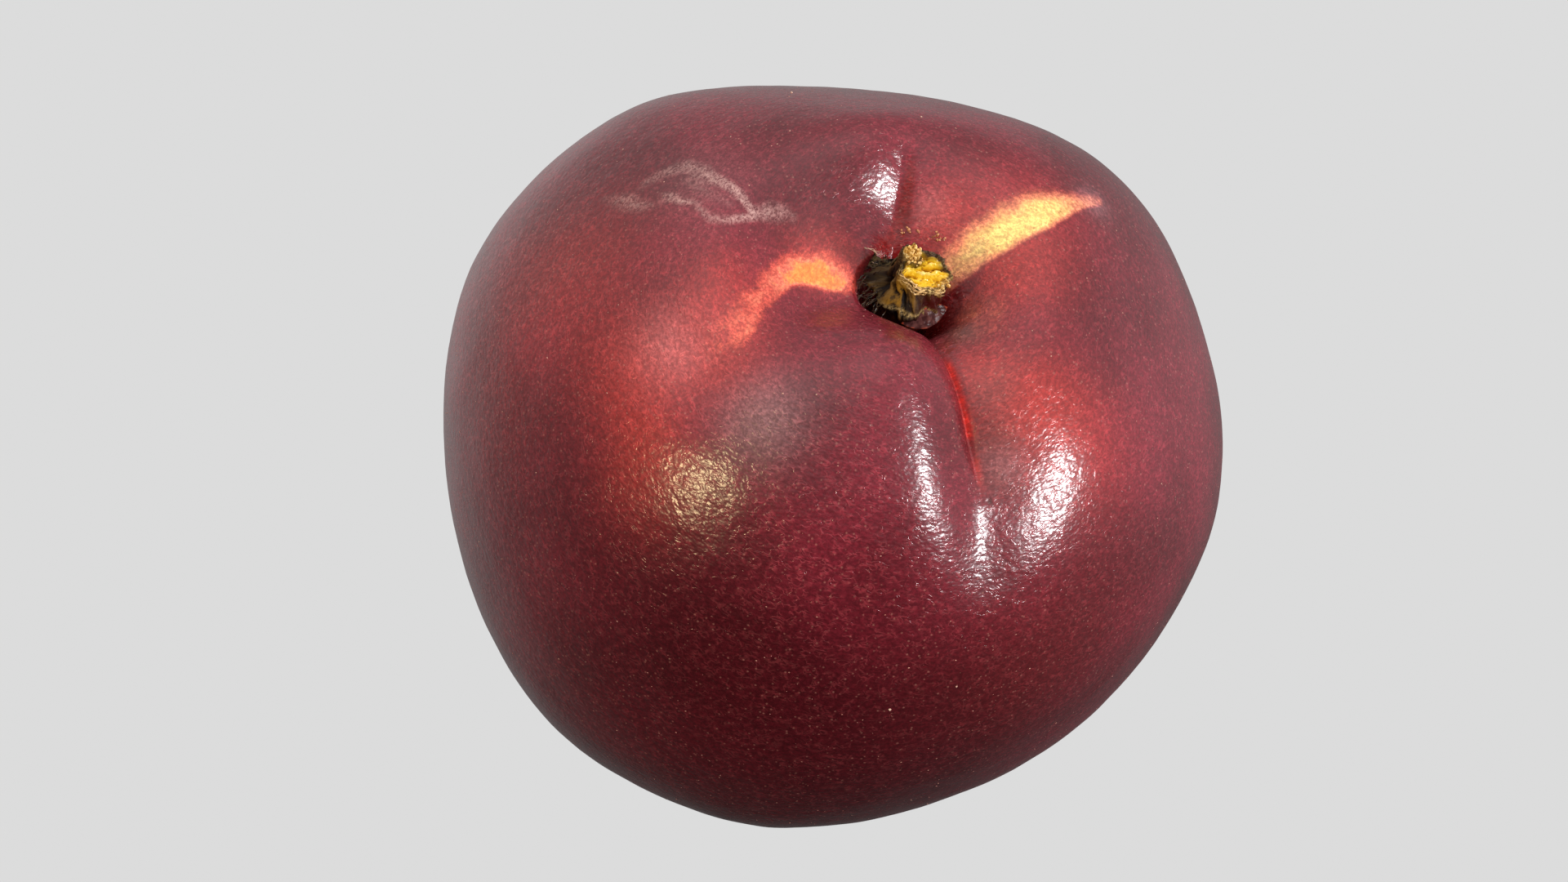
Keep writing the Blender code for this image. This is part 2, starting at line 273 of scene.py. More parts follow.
# Where the painted shade on the stub's right side lies, over its wet dark red
SHADED_DARK_RED_BESIDE = (58.0, 44.0)
SHADED_DARK_RED_FADES = (0.0078, 0.0089)
FRINGE = (0.0067, 0.00016)
FRINGE_BESIDE = (0.0, 60.0)
# Rows of the stub's grid over which its torn rim fades, on the break and down the side
RIM_ROWS = (3.0, 5.0)
# How soft a streak's line is, and how sharp its lower side
STREAK_SOFTNESS = 1.3
STREAK_SHARPNESS = 5
# Patches of the skin where its short pale strokes show best; the strokes are partly the skin's own pale
# marks and partly painted glints on its ridges
STROKES = {"front": (43.0, -20.0, 12.0, 1.0), "low": (56.0, -8.0, 10.0, 0.5)}
# The red line of the suture's crease: how far to its right, half width, and where it fades
CREASE_LINE = (0.0002, 0.00032)
CREASE_LINE_STARTS = (15.0, 10.5)
CREASE_LINE_FADES = (24.0, 37.0)
# A small pit below the suture, its dark colour painted shade: its place on the fruit, and where its edge
# starts and ends
PIT_PLACE = (35.8, 20.5)
PIT_EDGE = (0.00042, 0.00012)


def direction(polar, heading):
    """Unit vectors in the fruit's frame, for polar angles and headings in degrees."""
    polar, heading = np.broadcast_arrays(np.radians(polar), np.radians(heading))
    across = np.sin(polar)
    return np.stack([across * np.sin(heading), -across * np.cos(heading), np.cos(polar)], axis=-1)


def bell(share):
    """1 at 0, falling to 0 to either side of it."""
    return np.exp(-(share**2))


def turn_from(start, heading):
    """How far a heading is turned from another, between -180 and 180 degrees."""
    return (heading - start + 180.0) % 360.0 - 180.0


def beside(heading, middle, spread):
    """1 at one heading, falling to 0 to either side of it over the spread in degrees."""
    return bell(turn_from(middle, heading) / spread)


def bump(ways, polar, heading, spread):
    """1 at one place on the fruit, falling to 0 round it over the spread in degrees."""
    nearness = np.clip(ways @ direction(polar, heading), -1.0, 1.0)
    return bell(np.degrees(np.arccos(nearness)) / spread)


def patches(ways, places):
    """Soft patches added up, for places with a polar angle, a heading, a spread and an amount."""
    return sum(amount * bump(ways, *place) for *place, amount in places.values())


def off_line(ways, start, end):
    """Each way's share of a line between two places, its offset from the line, and the line's upper side."""
    first, last = direction(*start), direction(*end)
    run = last - first
    share = np.clip((ways - first) @ run / (run @ run), 0.0, 1.0)
    return share, ways - first - share[..., None] * run, np.cross(first, run)


def trough(ways, start, end, half_width, roundness):
    """1 on the line from one place on the fruit to another, falling to 0 beside it."""
    offset = off_line(ways, start, end)[1]
    return np.exp(-((np.linalg.norm(offset, axis=-1) * FRUIT_RADIUS / half_width) ** roundness))


def fade(value, full, gone):
    """1 up to one value, 0 past another, and smooth between."""
    share = np.clip((value - gone) / (full - gone), 0.0, 1.0)
    return share * share * (3.0 - 2.0 * share)


def suture_heading(polar):
    """The suture's heading at a polar angle."""
    return SUTURE_HEADING + SUTURE_SLANT * (np.clip(polar, 0.0, 60.0) - SUTURE_MIDDLE)


def beside_suture(polar, heading):
    """How far a place lies to the right of the suture, in metres."""
    return FRUIT_RADIUS * np.sin(np.radians(polar)) * np.radians(turn_from(suture_heading(polar), heading))


def suture_drop(polar, heading):
    """How far the suture sinks the skin."""
    side = beside_suture(polar, heading)
    drop = 0.0
    for (depth, left, right, *fades), power in ((SUTURE_CREASE, 1), (SUTURE_DIP, 2)):
        profile = np.exp(-(np.abs(side / np.where(side < 0.0, left, right)) ** power))
        drop = drop + depth * fade(polar, *fades) * profile
    return drop


def funnel_share(points, heading):
    """1 inside the funnel round the stem, falling to 0 outside it."""
    tight = fade(np.abs(turn_from(FUNNEL_TIGHT_HEADING, heading)), *FUNNEL_OPENS_BETWEEN)
    radius, steepness = (a * tight + b * (1.0 - tight) for a, b in (FUNNEL_RADII, FUNNEL_STEEPNESS))
    return np.exp(-((np.linalg.norm(points[..., :2], axis=-1) / radius) ** steepness))


def cavity_drop(points, heading):
    """How far the stem cavity sinks the skin."""
    from_centre = np.linalg.norm(points[..., :2] - BOWL_CENTRE, axis=-1)
    bowl = np.exp(-((from_centre / BOWL_RADIUS) ** BOWL_STEEPNESS))
    return FUNNEL_DEPTH * funnel_share(points, heading) + BOWL_DEPTH * bowl


def skin(polar, heading):
    """Points of the skin in the fruit's frame, for polar angles and headings in degrees."""
    ways = direction(polar, heading)
    radius = 1.0 / np.linalg.norm(ways / FRUIT_HALF_SIZES, axis=-1)
    for *place, height in LOBES.values():
        radius += height * bump(ways, *place)
    for start, end, half_width, depth, roundness in VALLEYS.values():
        radius -= depth * trough(ways, start, end, half_width, roundness)
    radius -= suture_drop(polar, heading)
    points = radius[..., None] * ways
    points[..., 2] -= np.where(ways[..., 2] > 0.0, cavity_drop(points, heading), 0.0)
    return points


def skin_grid(rings, segments):
    """Polar angles and headings of the skin's rings, crowded at the cavity and the creases."""
    first = np.degrees(np.arcsin(SOCKET_RADIUS / FRUIT_HALF_SIZES[2]))
    step = np.linspace(0.0, 1.0, rings, endpoint=False)
    polar = first + (180.0 - first) * step**RING_CROWDING
    turn = np.linspace(-np.pi, np.pi, segments, endpoint=False)
    crowded = np.degrees(turn - 0.5 * SEGMENT_CROWDING * np.sin(2.0 * turn))
    near_suture = np.cos(0.5 * turn) ** 2
    polar, crowded = np.meshgrid(polar, crowded, indexing="ij")
    return polar, crowded + suture_heading(polar) * near_suture


# Height of the socket's floor in the fruit's frame
SOCKET_FLOOR = skin(*skin_grid(*SOLID_GRID))[0, :, 2].min() - SOCKET_DEPTH


def stand(points):
    """Points of the fruit's frame in the row frame, where the fruit leans and rests on the ground."""
    lean = np.array(Matrix.Rotation(np.radians(LEAN), 3, "Y"))
    return points @ lean.T + (0.0, 0.0, CENTRE_HEIGHT)


def ripple(points, size, octaves, seed):
    """Smooth noise round 0 at each point, with waves of about one size."""
    flat = (points / size + seed).reshape(-1, 3)
    values = [noise.fractal(Vector(point), 1.0, 2.0, octaves) for point in flat]
    return np.array(values).reshape(points.shape[:-1])


def streak_warmth(ways, stops, sharp=True):
    """Warmth of one streak: a chain of stretches, soft beside its line, or sharp on its lower side."""
    warmth = np.zeros(ways.shape[:-1])
    for start, end in zip(stops, stops[1:]):
        share, offset, upper_side = off_line(ways, start[:2], end[:2])
        width, strength = (a + share * (b - a) for a, b in zip(start[2:], end[2:]))
        away = np.linalg.norm(offset, axis=-1) * FRUIT_RADIUS / (width * MM)
        profile = bell(away / STREAK_SOFTNESS)
        if sharp:
            upper = np.sign(stops[0][1]) * (offset @ upper_side) > 0.0
            profile = np.where(upper, profile, np.exp(-(away**STREAK_SHARPNESS)))
        warmth = np.maximum(warmth, strength * profile)
    return warmth


def closed_faces(rows, columns):
    """Faces of a grid that closes round its columns, and fans from its first and last row to two tips."""
    row, column = np.meshgrid(np.arange(rows - 1), np.arange(columns), indexing="ij")
    here = row * columns + column
    following = row * columns + (column + 1) % columns
    quads = np.stack([here, here + columns, following + columns, following], axis=-1).reshape(-1, 4).tolist()
    count = rows * columns
    for start, tip in ((0, count), (count - columns, count + 1)):
        quads += [(start + i, start + (i + 1) % columns, tip) for i in range(columns)]
    return quads


def in_scene(name, data):
    """A new object in the scene."""
    made = bpy.data.objects.new(name, data)
    bpy.context.scene.collection.objects.link(made)
    return made


def make_piece(name, points, faces, marks=None):
    """A smooth mesh object in the scene, with named numbers on its vertices, facing outwards."""
    data = bpy.data.meshes.new(name)
    data.from_pydata(points.reshape(-1, 3).tolist(), [], faces)
    for mark, values in (marks or {}).items():
        kind, field = ("FLOAT_VECTOR", "vector") if values.ndim == 2 else ("FLOAT", "value")
        data.attributes.new(mark, kind, "POINT").data.foreach_set(field, values.astype(np.float32).ravel())
    mesh = bmesh.new()
    mesh.from_mesh(data)
    bmesh.ops.recalc_face_normals(mesh, faces=mesh.faces)
    mesh.to_mesh(data)
    mesh.free()
    data.shade_smooth()
    return in_scene(name, data)


def place_piece(piece, node=None):
    """Hands a finished piece to the frame."""
    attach(piece, BODY)
    if node:
        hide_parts(node)


def operation(name, reflected=False):
    """A method of Wire that adds one Math node."""

    def add_node(self, *others):
        values = (*others, self) if reflected else (self, *others)
        return self.graph.node("ShaderNodeMath", {"operation": name}, dict(enumerate(values)))

    return add_node


class Wire:
    """A socket of a node tree. An expression on wires and numbers adds its Math nodes."""

    __add__ = operation("ADD")
    __radd__ = operation("ADD", reflected=True)
    __sub__ = operation("SUBTRACT")
    __rsub__ = operation("SUBTRACT", reflected=True)
    __mul__ = operation("MULTIPLY")
    __rmul__ = operation("MULTIPLY", reflected=True)
    __pow__ = operation("POWER")
    __abs__ = operation("ABSOLUTE")
    exp = operation("EXPONENT")
    at_least = operation("MAXIMUM")

    def __init__(self, graph, socket):
        self.graph = graph
        self.socket = socket

    def clamped(self):
        return self.smooth(0.0, 1.0, "LINEAR")

    def smooth(self, low, high, kind="SMOOTHSTEP"):
        """0 at one value and 1 at another, either way round."""
        ends = {"Value": self, "From Min": low, "From Max": high, "To Min": 0.0, "To Max": 1.0}
        return self.graph.node("ShaderNodeMapRange", {"interpolation_type": kind}, ends)

    def output(self, name):
        """Another output of this wire's node."""
        return Wire(self.graph, self.socket.node.outputs[name])


class Graph:
    """A node tree under construction. A colour is a wire or three numbers."""

    def __init__(self, tree):
        self.tree = tree

    def node(self, kind, settings=None, inputs=None, output=0):
        """A new node of one type: its settings come first, then its sockets' values or links."""
        made = self.tree.nodes.new(kind)
        for name, value in (settings or {}).items():
            if name == "stops":
                set_stops(made.color_ramp, value)
            else:
                setattr(made, name, value)
        for name, value in (inputs or {}).items():
            if isinstance(value, Wire):
                self.tree.links.new(value.socket, made.inputs[name])
            else:
                made.inputs[name].default_value = value
        return Wire(self, made.outputs[output])

    def attribute(self, name, output="Fac"):
        return self.node("ShaderNodeAttribute", {"attribute_name": name}, output=output)

    def place(self):
        return self.node("ShaderNodeTexCoord", output="Object")

    def noise(self, place, size, detail=2.0, roughness=0.5, distortion=0.0):
        """Smooth noise from 0 to 1 with waves of about one size in metres."""
        inputs = {"Vector": place, "Scale": 1.0 / size, "Detail": detail, "Roughness": roughness}
        return self.node("ShaderNodeTexNoise", inputs={**inputs, "Distortion": distortion})

    def cells(self, place, size):
        """Distance to the middle of the nearest of many cells of about one size in metres."""
        return self.node("ShaderNodeTexVoronoi", inputs={"Vector": place, "Scale": 1.0 / size})

    def mix(self, factor, first, second, kind="MIX"):
        """Two colours blended."""
        first, second = (each if isinstance(each, Wire) else opaque(each) for each in (first, second))
        settings = {"data_type": "RGBA", "blend_type": kind}
        return self.node("ShaderNodeMix", settings, {0: factor, 6: first, 7: second}, output=2)

    def vector(self, operation, *values, output="Vector"):
        return self.node("ShaderNodeVectorMath", {"operation": operation}, dict(enumerate(values)), output)

    def scaled(self, vector, factor):
        """A vector or a colour times a number."""
        return self.node("ShaderNodeVectorMath", {"operation": "SCALE"}, {0: vector, "Scale": factor})

    def ramp(self, factor, stops):
        return self.node("ShaderNodeValToRGB", {"stops": stops}, {"Fac": factor})

    def bumps(self, height, distance, strength):
        """A Normal roughened by a height, at a distance in metres."""
        inputs = {"Strength": strength, "Distance": distance, "Height": height}
        return self.node("ShaderNodeBump", inputs=inputs)


def set_stops(ramp, stops):
    """Gives a colour ramp its stops, each a position and a colour."""
    while len(ramp.elements) > 1:
        ramp.elements.remove(ramp.elements[-1])
    for i, (position, colour) in enumerate(stops):
        element = ramp.elements[0] if i == 0 else ramp.elements.new(position)
        element.position = position
        element.color = opaque(colour)


def opaque(colour):
    """A colour with full alpha."""
    return (*colour[:3], 1.0)


def new_material(name, uniform, uneven=None):
    """A material whose Principled shader gets uniform values and, from a function, wires for the others."""
    material = bpy.data.materials.new(name)
    material.use_nodes = True
    shader = material.node_tree.nodes["Principled BSDF"]
    for socket, value in uniform.items():
        shader.inputs[socket].default_value = value
    wires = uneven(Graph(material.node_tree)) if uneven else {}
    for socket, wire in wires.items():
        material.node_tree.links.new(wire.socket, shader.inputs[socket])
    return material


# Noises of the skin: size of a wave in metres, detail, roughness and distortion
GRAIN = (0.00024, 2.0, 0.65)
MOTTLE = (0.0016, 2.0, 0.6)
CLOUD = (0.012, 1.0, 0.55)
FEATHER = (0.0011, 2.0, 0.6, 0.4)
WORN = (0.0016, 1.0, 0.6)
RIPPLES = (0.00032, 2.0, 0.65)
PEBBLES = (0.00042, 1.0, 0.6)
WAVES = (0.0011, 0.0)
WORMS = (0.00052, 1.0, 0.5, 0.8)
BREAKS = (0.0007, 0.0)
# Sizes of the cells that carry the pocks, the fine dots and the coarse ones
POCK_CELLS, FINE_CELLS, COARSE_CELLS = 0.0007, 0.00055, 0.0026
# Depths of the bumps in metres
SKIN_RELIEF = 0.000036
PLAIN_RELIEF = 0.00006
GUM_RELIEF = 0.00004
# Each streak's unrest, as a reach and a strength, and its colours from cool to hot over the crimson; the
# hottest are partly painted sunlight
STREAK_COLOURS = {
    "ember": (1.15, 2.4, (
        (0.20, (0.36, 0.035, 0.030)), (0.36, (0.60, 0.080, 0.052)), (0.50, (0.82, 0.17, 0.10)),
        (0.66, (0.95, 0.27, 0.07)), (0.84, (0.97, 0.26, 0.05)), (1.00, (0.99, 0.33, 0.06)),
    )),
    "gold": (1.2, 1.6, (
        (0.22, (0.40, 0.065, 0.045)), (0.42, (0.74, 0.22, 0.11)), (0.60, (0.92, 0.42, 0.15)),
        (0.78, (0.96, 0.62, 0.19)), (0.92, (0.98, 0.74, 0.22)), (1.00, (1.00, 0.86, 0.36)),
    )),
}
SKIN_COLOURS = {
    # Colour of the painted shade on the lower skin
    "darkest_painted_shade": (0.066, 0.0045, 0.0082),
    "pock": (0.36, 0.12, 0.03),
    # Greyish painted sheen, added to the skin's colour
    "painted_sheen": (0.17, 0.13, 0.135),
    # Deep red of the cavity, partly the skin's own and partly painted shade in the hollow
    "cavity": (0.16, 0.006, 0.006),
    "crease": (0.60, 0.022, 0.012),
    "stroke": (0.50, 0.17, 0.15),
    "scar": (0.64, 0.40, 0.36),
    # Painted shade inside the pit
    "shaded_pit": (0.05, 0.018, 0.015),
}


def under_colour(graph, settings, mark, grain, mottle):
    """Crimson of the skin with painted shade in its darker places, its flushes and its two warm streaks,
    whose bright cores are partly painted sunlight.
    """
    cloud = graph.noise(graph.place(), *CLOUD)
    colour = graph.mix(cloud.smooth(0.35, 0.68), settings.deep_tone_and_shade, settings.crimson)
    # Painted shade darkens the skin where the mark is set
    deep_tone_and_shade = (mark["deep_tone_and_shade"] * (0.7 + cloud * 0.6)).clamped()
    colour = graph.mix(deep_tone_and_shade, colour, SKIN_COLOURS["darkest_painted_shade"])
    redness = (mark["flush"] + (mottle - 0.5) * 0.35 * mark["flush"]).clamped()
    colour = graph.mix(redness, colour, settings.blush)
    feather = graph.noise(graph.attribute("flow", "Vector"), *FEATHER)
    unrest = (feather - 0.5) * 0.8 + (mottle - 0.5) * 0.35 + (grain - 0.5) * 0.35
    for name, (reach, strength, stops) in STREAK_COLOURS.items():
        heat = mark[name] + unrest * mark[name] * (reach - mark[name]) * strength
        warm = graph.ramp(heat.clamped(), ((0.0, settings.crimson), *stops))
        colour = graph.mix(heat.smooth(0.03, 0.30), colour, warm)
    return colour


def marked_colour(graph, settings, colour, mark, grain, mottle):
    """The skin's colour with its pocks, painted sheen, dull patches of painted shade and reflection, a red
    cavity darkened by painted shade, and a red crease.
    """
    pocks = graph.cells(graph.place(), POCK_CELLS).smooth(0.20, 0.10) * mark["gold"].smooth(0.3, 0.7)
    colour = graph.mix(pocks * 0.55, colour, SKIN_COLOURS["pock"])
    # Painted sheen: a greyish reflection added where the mark is set
    painted_sheen = (mark["painted_sheen"] * (0.55 + grain * 0.9)).clamped()
    colour = graph.mix(painted_sheen, colour, SKIN_COLOURS["painted_sheen"], "ADD")
    # Painted shade and painted dull reflection, in the dull brown
    colour = graph.mix((mark["dull"] * (0.75 + 0.5 * mottle)).clamped(), colour, settings.dull)
    # Painted shade in the cavity and the crease behind the stem, over their own deep red
    colour = graph.mix(mark["cavity"].smooth(0.05, 0.75), colour, SKIN_COLOURS["cavity"])
    worn = graph.noise(graph.attribute("weave", "Vector"), *WORN).smooth(0.36, 0.58)
    return graph.mix((mark["crease"] * (0.35 + 0.65 * worn)).clamped(), colour, SKIN_COLOURS["crease"])


def skin_material(settings):
    """Waxy crimson skin with warm streaks, specks, short pale strokes, a scar and fine pebbling, with
    painted sunlight, sheen, glints and shade in its colour.
    """

    def uneven(graph):
        names = ("gold", "ember", "flush", "dull", "cavity", "crease", "deep_tone_and_shade", "painted_sheen", "scar", "strokes")
        mark = {name: graph.attribute(name) for name in names}
        place = graph.place()
        weave = graph.attribute("weave", "Vector")
        grain, mottle = graph.noise(place, *GRAIN), graph.noise(place, *MOTTLE)
        colour = under_colour(graph, settings, mark, grain, mottle)
        colour = marked_colour(graph, settings, colour, mark, grain, mottle)
        speckle = (graph.noise(weave, *RIPPLES) * 0.5 + grain * 0.5).smooth(0.38, 0.66)
        colour = graph.scaled(colour, 0.72 + speckle * 0.56)
        worms = abs(graph.noise(weave, *WORMS) - 0.5).smooth(0.090, 0.0)
        strokes = worms * graph.noise(place, *BREAKS).smooth(0.34, 0.64) * (0.6 + mark["strokes"] * 0.4)
        # Painted glints: the strokes brighten the colour where ridges would catch the light, over their own
        # pale colour
        with_painted_glints = graph.scaled(colour, 0.96 + strokes * 0.70)
        colour = graph.mix(strokes * 0.08, with_painted_glints, SKIN_COLOURS["stroke"])
        fine_dots = graph.cells(place, FINE_CELLS).smooth(0.22, 0.09) * mottle.smooth(0.32, 0.56)
        coarse_dots = graph.cells(place, COARSE_CELLS).smooth(0.060, 0.035)
        colour = graph.mix((fine_dots * 0.6 + coarse_dots * 0.4).clamped() * 0.36, colour, settings.speck)
        scar = (mark["scar"].smooth(0.25, 1.0) * (0.10 + speckle * 0.7 + worms * 0.7)).clamped()
        colour = graph.mix(scar * 0.70, colour, SKIN_COLOURS["scar"])
        pit_centre = tuple(stand(skin(*PIT_PLACE)))
        shaded_pit = graph.vector("DISTANCE", place, pit_centre, output="Value").smooth(*PIT_EDGE)
        height = graph.noise(weave, *PEBBLES) * 1.4 + graph.noise(weave, *WAVES) * 0.4 + strokes * 0.45 - shaded_pit
        roughness = 0.228 + (mottle - 0.5) * 0.08 + scar * 0.25 + mark["dull"] * 0.12 + mark["crease"] * 0.6
        return {
            # Painted shade darkens the pit
            "Base Color": graph.mix(shaded_pit * 0.8, colour, SKIN_COLOURS["shaded_pit"]),
            "Roughness": roughness - mark["cavity"].smooth(0.1, 0.6) * 0.07,
            "Coat Weight": (0.17 - mark["cavity"].smooth(0.0, 0.4) * 0.15) * (1.0 - mark["crease"]),
            "Normal": graph.bumps(height, SKIN_RELIEF, 1.0),
        }

    return new_material("nectarine_skin", {"IOR": 1.46, "Coat Roughness": 0.36, "Coat IOR": 1.5}, uneven)


class SkinSettings(bpy.types.PropertyGroup):
    """Sizes and colours of the skin"""

    rings: IntProperty(name="Rings", description="Rings of faces from stem to tip", default=270, min=60)
    segments: IntProperty(name="Segments", description="Faces round the fruit", default=340, min=60)
    relief: FloatProperty(
        name="Relief", description="Height of the skin's broad unevenness",
        default=0.00007, subtype="DISTANCE", unit="LENGTH")
    crimson: FloatVectorProperty(
        name="Crimson", description="The skin's lighter main colour",
        default=(0.185, 0.0135, 0.026), subtype="COLOR")
    deep_tone_and_shade: FloatVectorProperty(
        name="Deep crimson", description="The skin's darker main colour",
        default=(0.112, 0.0070, 0.0138), subtype="COLOR")
    blush: FloatVectorProperty(
        name="Blush", description="Red of the flushed patches",
        default=(0.46, 0.035, 0.028), subtype="COLOR")
    # Colour of the painted shade and dull reflection
    dull: FloatVectorProperty(
        name="Dull", description="Brown of the dull patches",
        default=(0.13, 0.050, 0.040), subtype="COLOR")
    speck: FloatVectorProperty(
        name="Specks", description="Colour of the pale specks",
        default=(0.62, 0.28, 0.22), subtype="COLOR")


class NECTARINE_OT_skin(bpy.types.Operator):
    """Makes the fruit's fine skin"""

    bl_idname = "nectarine.skin"
    bl_label = "Skin"

    def execute(self, context):
        settings = context.scene.nectarine_skin
        polar, heading = skin_grid(settings.rings, settings.segments)
        points = self.finer(polar, heading, settings.relief)
        bottom = points[:1].copy()
        bottom[..., 2] = SOCKET_FLOOR
        tips = np.array(((0.0, 0.0, SOCKET_FLOOR), skin(180.0, 0.0)))
        stacked = stand(np.concatenate([bottom.reshape(-1, 3), points.reshape(-1, 3), tips]))
        stacked[:, 2] = np.maximum(stacked[:, 2], 0.0)
        faces = closed_faces(settings.rings + 1, settings.segments)
        piece = make_piece("nectarine_skin", stacked, faces, self.marks(polar, heading, points))
        piece.data.materials.append(skin_material(settings))
        place_piece(piece, "fruit")
        return {"FINISHED"}

    def finer(self, polar, heading, relief):
        """Points of the skin with the faint groove, the steeper brow and the broad unevenness."""
        ways = direction(polar, heading)
        points = skin(polar, heading)
        start, full, thin, end = GROOVE_SPAN
        groove = bell(beside_suture(polar, heading) / GROOVE_HALF_WIDTH)
        groove = groove * fade(polar, full, start) * fade(polar, thin, end)
        points -= ways * (GROOVE_DEPTH * groove)[..., None]
        step = (polar - BROW_STEP[0]) / BROW_STEP[2]
        steepening = step * np.exp(-(step**2) - (turn_from(BROW_STEP[1], heading) / BROW_STEP[3]) ** 2)
        points += ways * (BROW_STEP_HEIGHT * steepening)[..., None]
        calm = 1.0 - funnel_share(points, heading) * (ways[..., 2] > 0.0)
        swell = ripple(points, *BROAD_SWELL) + FINE_SWELL_SHARE * ripple(points, *FINE_SWELL)
        return points + ways * (relief * swell * calm)[..., None]

    def marks(self, polar, heading, points):
        """The numbers that the skin's material reads, with the socket's and the tips' values added."""
        ways = direction(polar, heading)
        middle, half_width = CREASE_LINE
        line = bell((beside_suture(polar, heading) - middle) / half_width)
        inside = funnel_share(points, heading) * (ways[..., 2] > 0.0)
        found = {
            "gold": np.maximum(streak_warmth(ways, GOLD_STREAK), patches(ways, TINTS)),
            "ember": streak_warmth(ways, FLAME_STREAK),
            "flush": patches(ways, FLUSHES),
            "dull": patches(ways, PAINTED_SHADE_AND_DULL_SHEEN),
            "cavity": np.maximum(inside, streak_warmth(ways, BACK_CREASE, sharp=False)),
            "crease": line * fade(polar, *CREASE_LINE_FADES) * fade(polar, *CREASE_LINE_STARTS),
            "deep_tone_and_shade": patches(ways, PAINTED_SHADE_PATCHES),
            "painted_sheen": patches(ways, PAINTED_SHEEN_PATCHES),
            "scar": np.max([streak_warmth(ways, chain, sharp=False) for chain in SCARS], axis=0),
            "strokes": patches(ways, STROKES),
        }
        marks = {}
        segments = polar.shape[1]
        for name, values in found.items():
            in_socket = 1.0 if name == "cavity" else 0.0
            marks[name] = np.concatenate([np.full(segments, in_socket), values.ravel(), (in_socket, 0.0)])
        down = np.radians(polar) * FRUIT_RADIUS
        for name, across, along in (("weave", WEAVE_STRETCH, 1.0), ("flow", 1.0, FLOW_STRETCH)):
            grid = np.stack([points[..., 0] * across, points[..., 1] * across, down * along], axis=-1)
            marks[name] = np.concatenate([np.zeros((segments, 3)), grid.reshape(-1, 3), grid[(0, -1), 0]])
        return marks


def stem_side(share, heading):
    """Points of the stub's side over the socket's floor, from the root at 0 to the rim at 1."""
    height = STEM_HEIGHTS[0] + share * (STEM_HEIGHTS[-1] - STEM_HEIGHTS[0])
    radius = np.interp(height, STEM_HEIGHTS, STEM_RADII)
    flutes = np.cos(np.radians(STEM_FLUTES * heading + STEM_FLUTE_TWIST * share))
    radius += STEM_FLUTE_DEPTH * (1.0 - fade(height, *STEM_FLUTES_START)) * flutes
    at_collar = bell((height - COLLAR_HEIGHT) / COLLAR_THICKNESS)
    radius += COLLAR_REACH * at_collar * beside(heading, COLLAR_HEADING, COLLAR_SPREAD)
    points = radius[..., None] * direction(90.0, heading)
    flat = 1.0 - fade(height, STEM_TOP_SCALE_FROM, STEM_HEIGHTS[-1])
    points[..., :2] *= 1.0 + flat[..., None] * (STEM_TOP_SCALE - 1.0)
    clear = np.clip(height - STEM_LEAVES_AXIS_AT, 0.0, None) / (STEM_HEIGHTS[-1] - STEM_LEAVES_AXIS_AT)
    points[..., :2] += STEM_TOP_OFFSET * clear[..., None]
    rise = BREAK_RISE * share**BREAK_RISE_POWER * np.cos(np.radians(heading - BREAK_HIGH_HEADING))
    points[..., 2] = height + rise
    return points


def stem_shape(settings):
    """The stub over the socket's floor as one grid, with its headings, how far each point lies in from the
    rim, its share of the knob and its share of the wall behind the break."""
    heading = np.linspace(-180.0, 180.0, settings.columns, endpoint=False)
    share, around = np.meshgrid(np.linspace(0.0, 1.0, settings.side_rows), heading, indexing="ij")
    side = stem_side(share, around)
    rim = side[-1]
    middle = rim.mean(axis=0)
    outward = np.linspace(1.0, 0.0, settings.top_rows, endpoint=False)[1:, None] * np.ones(settings.columns)
    top = middle + outward[..., None] * (rim - middle)
    top[..., 2] -= BREAK_SAG * (1.0 - outward**2)
    points = np.concatenate([side, top])
    inward = np.concatenate([np.zeros(share.shape), 1.0 - outward])
    lifted = fade(share, 1.0, LIFT_STARTS)
    from_knob = np.linalg.norm((points[..., :2] - KNOB_PLACE) / KNOB_HALF_SIZES, axis=-1)
    knob = np.exp(-(from_knob**KNOB_STEEPNESS)) * np.concatenate([lifted, np.ones(outward.shape)])
    at_rim = np.concatenate([lifted, bell((1.0 - outward) / WALL_THICKNESS)])
    wall = at_rim * np.clip(np.cos(np.radians(heading - WALL_HEADING)), 0.0, None)
    points[..., 2] += KNOB_HEIGHT * knob + WALL_HEIGHT * wall * (1.0 - knob)
    return points, np.broadcast_to(heading, inward.shape), inward, knob, wall


def lengthwise(points, heading, size, octaves, seed, twist):
    """Noise drawn out along the stub, as bark fibres are, with a twist in degrees a millimetre."""
    turned = np.radians(heading + twist * points[..., 2] / MM)
    around = [turning(turned) * FIBRE_RADIUS for turning in (np.cos, np.sin)]
    return ripple(np.stack([*around, points[..., 2] * FIBRE_STRETCH], axis=-1), size, octaves, seed)


# Noises and colours of the stub
STUB_GRAIN = (0.00020, 3.0, 0.65)
STUB_BLOTCH = (0.0006, 3.0, 0.6)
STUB_RELIEF = 0.00008
# Olive and brown of the bark, darkened as painted shade in its furrows, as the ramp follows the furrows'
# depth
BARK_COLOURS = (
    (0.20, (0.004, 0.003, 0.003)), (0.40, (0.012, 0.007, 0.005)), (0.56, (0.038, 0.021, 0.009)),
    (0.72, (0.085, 0.042, 0.014)), (1.00, (0.190, 0.105, 0.032)),
)
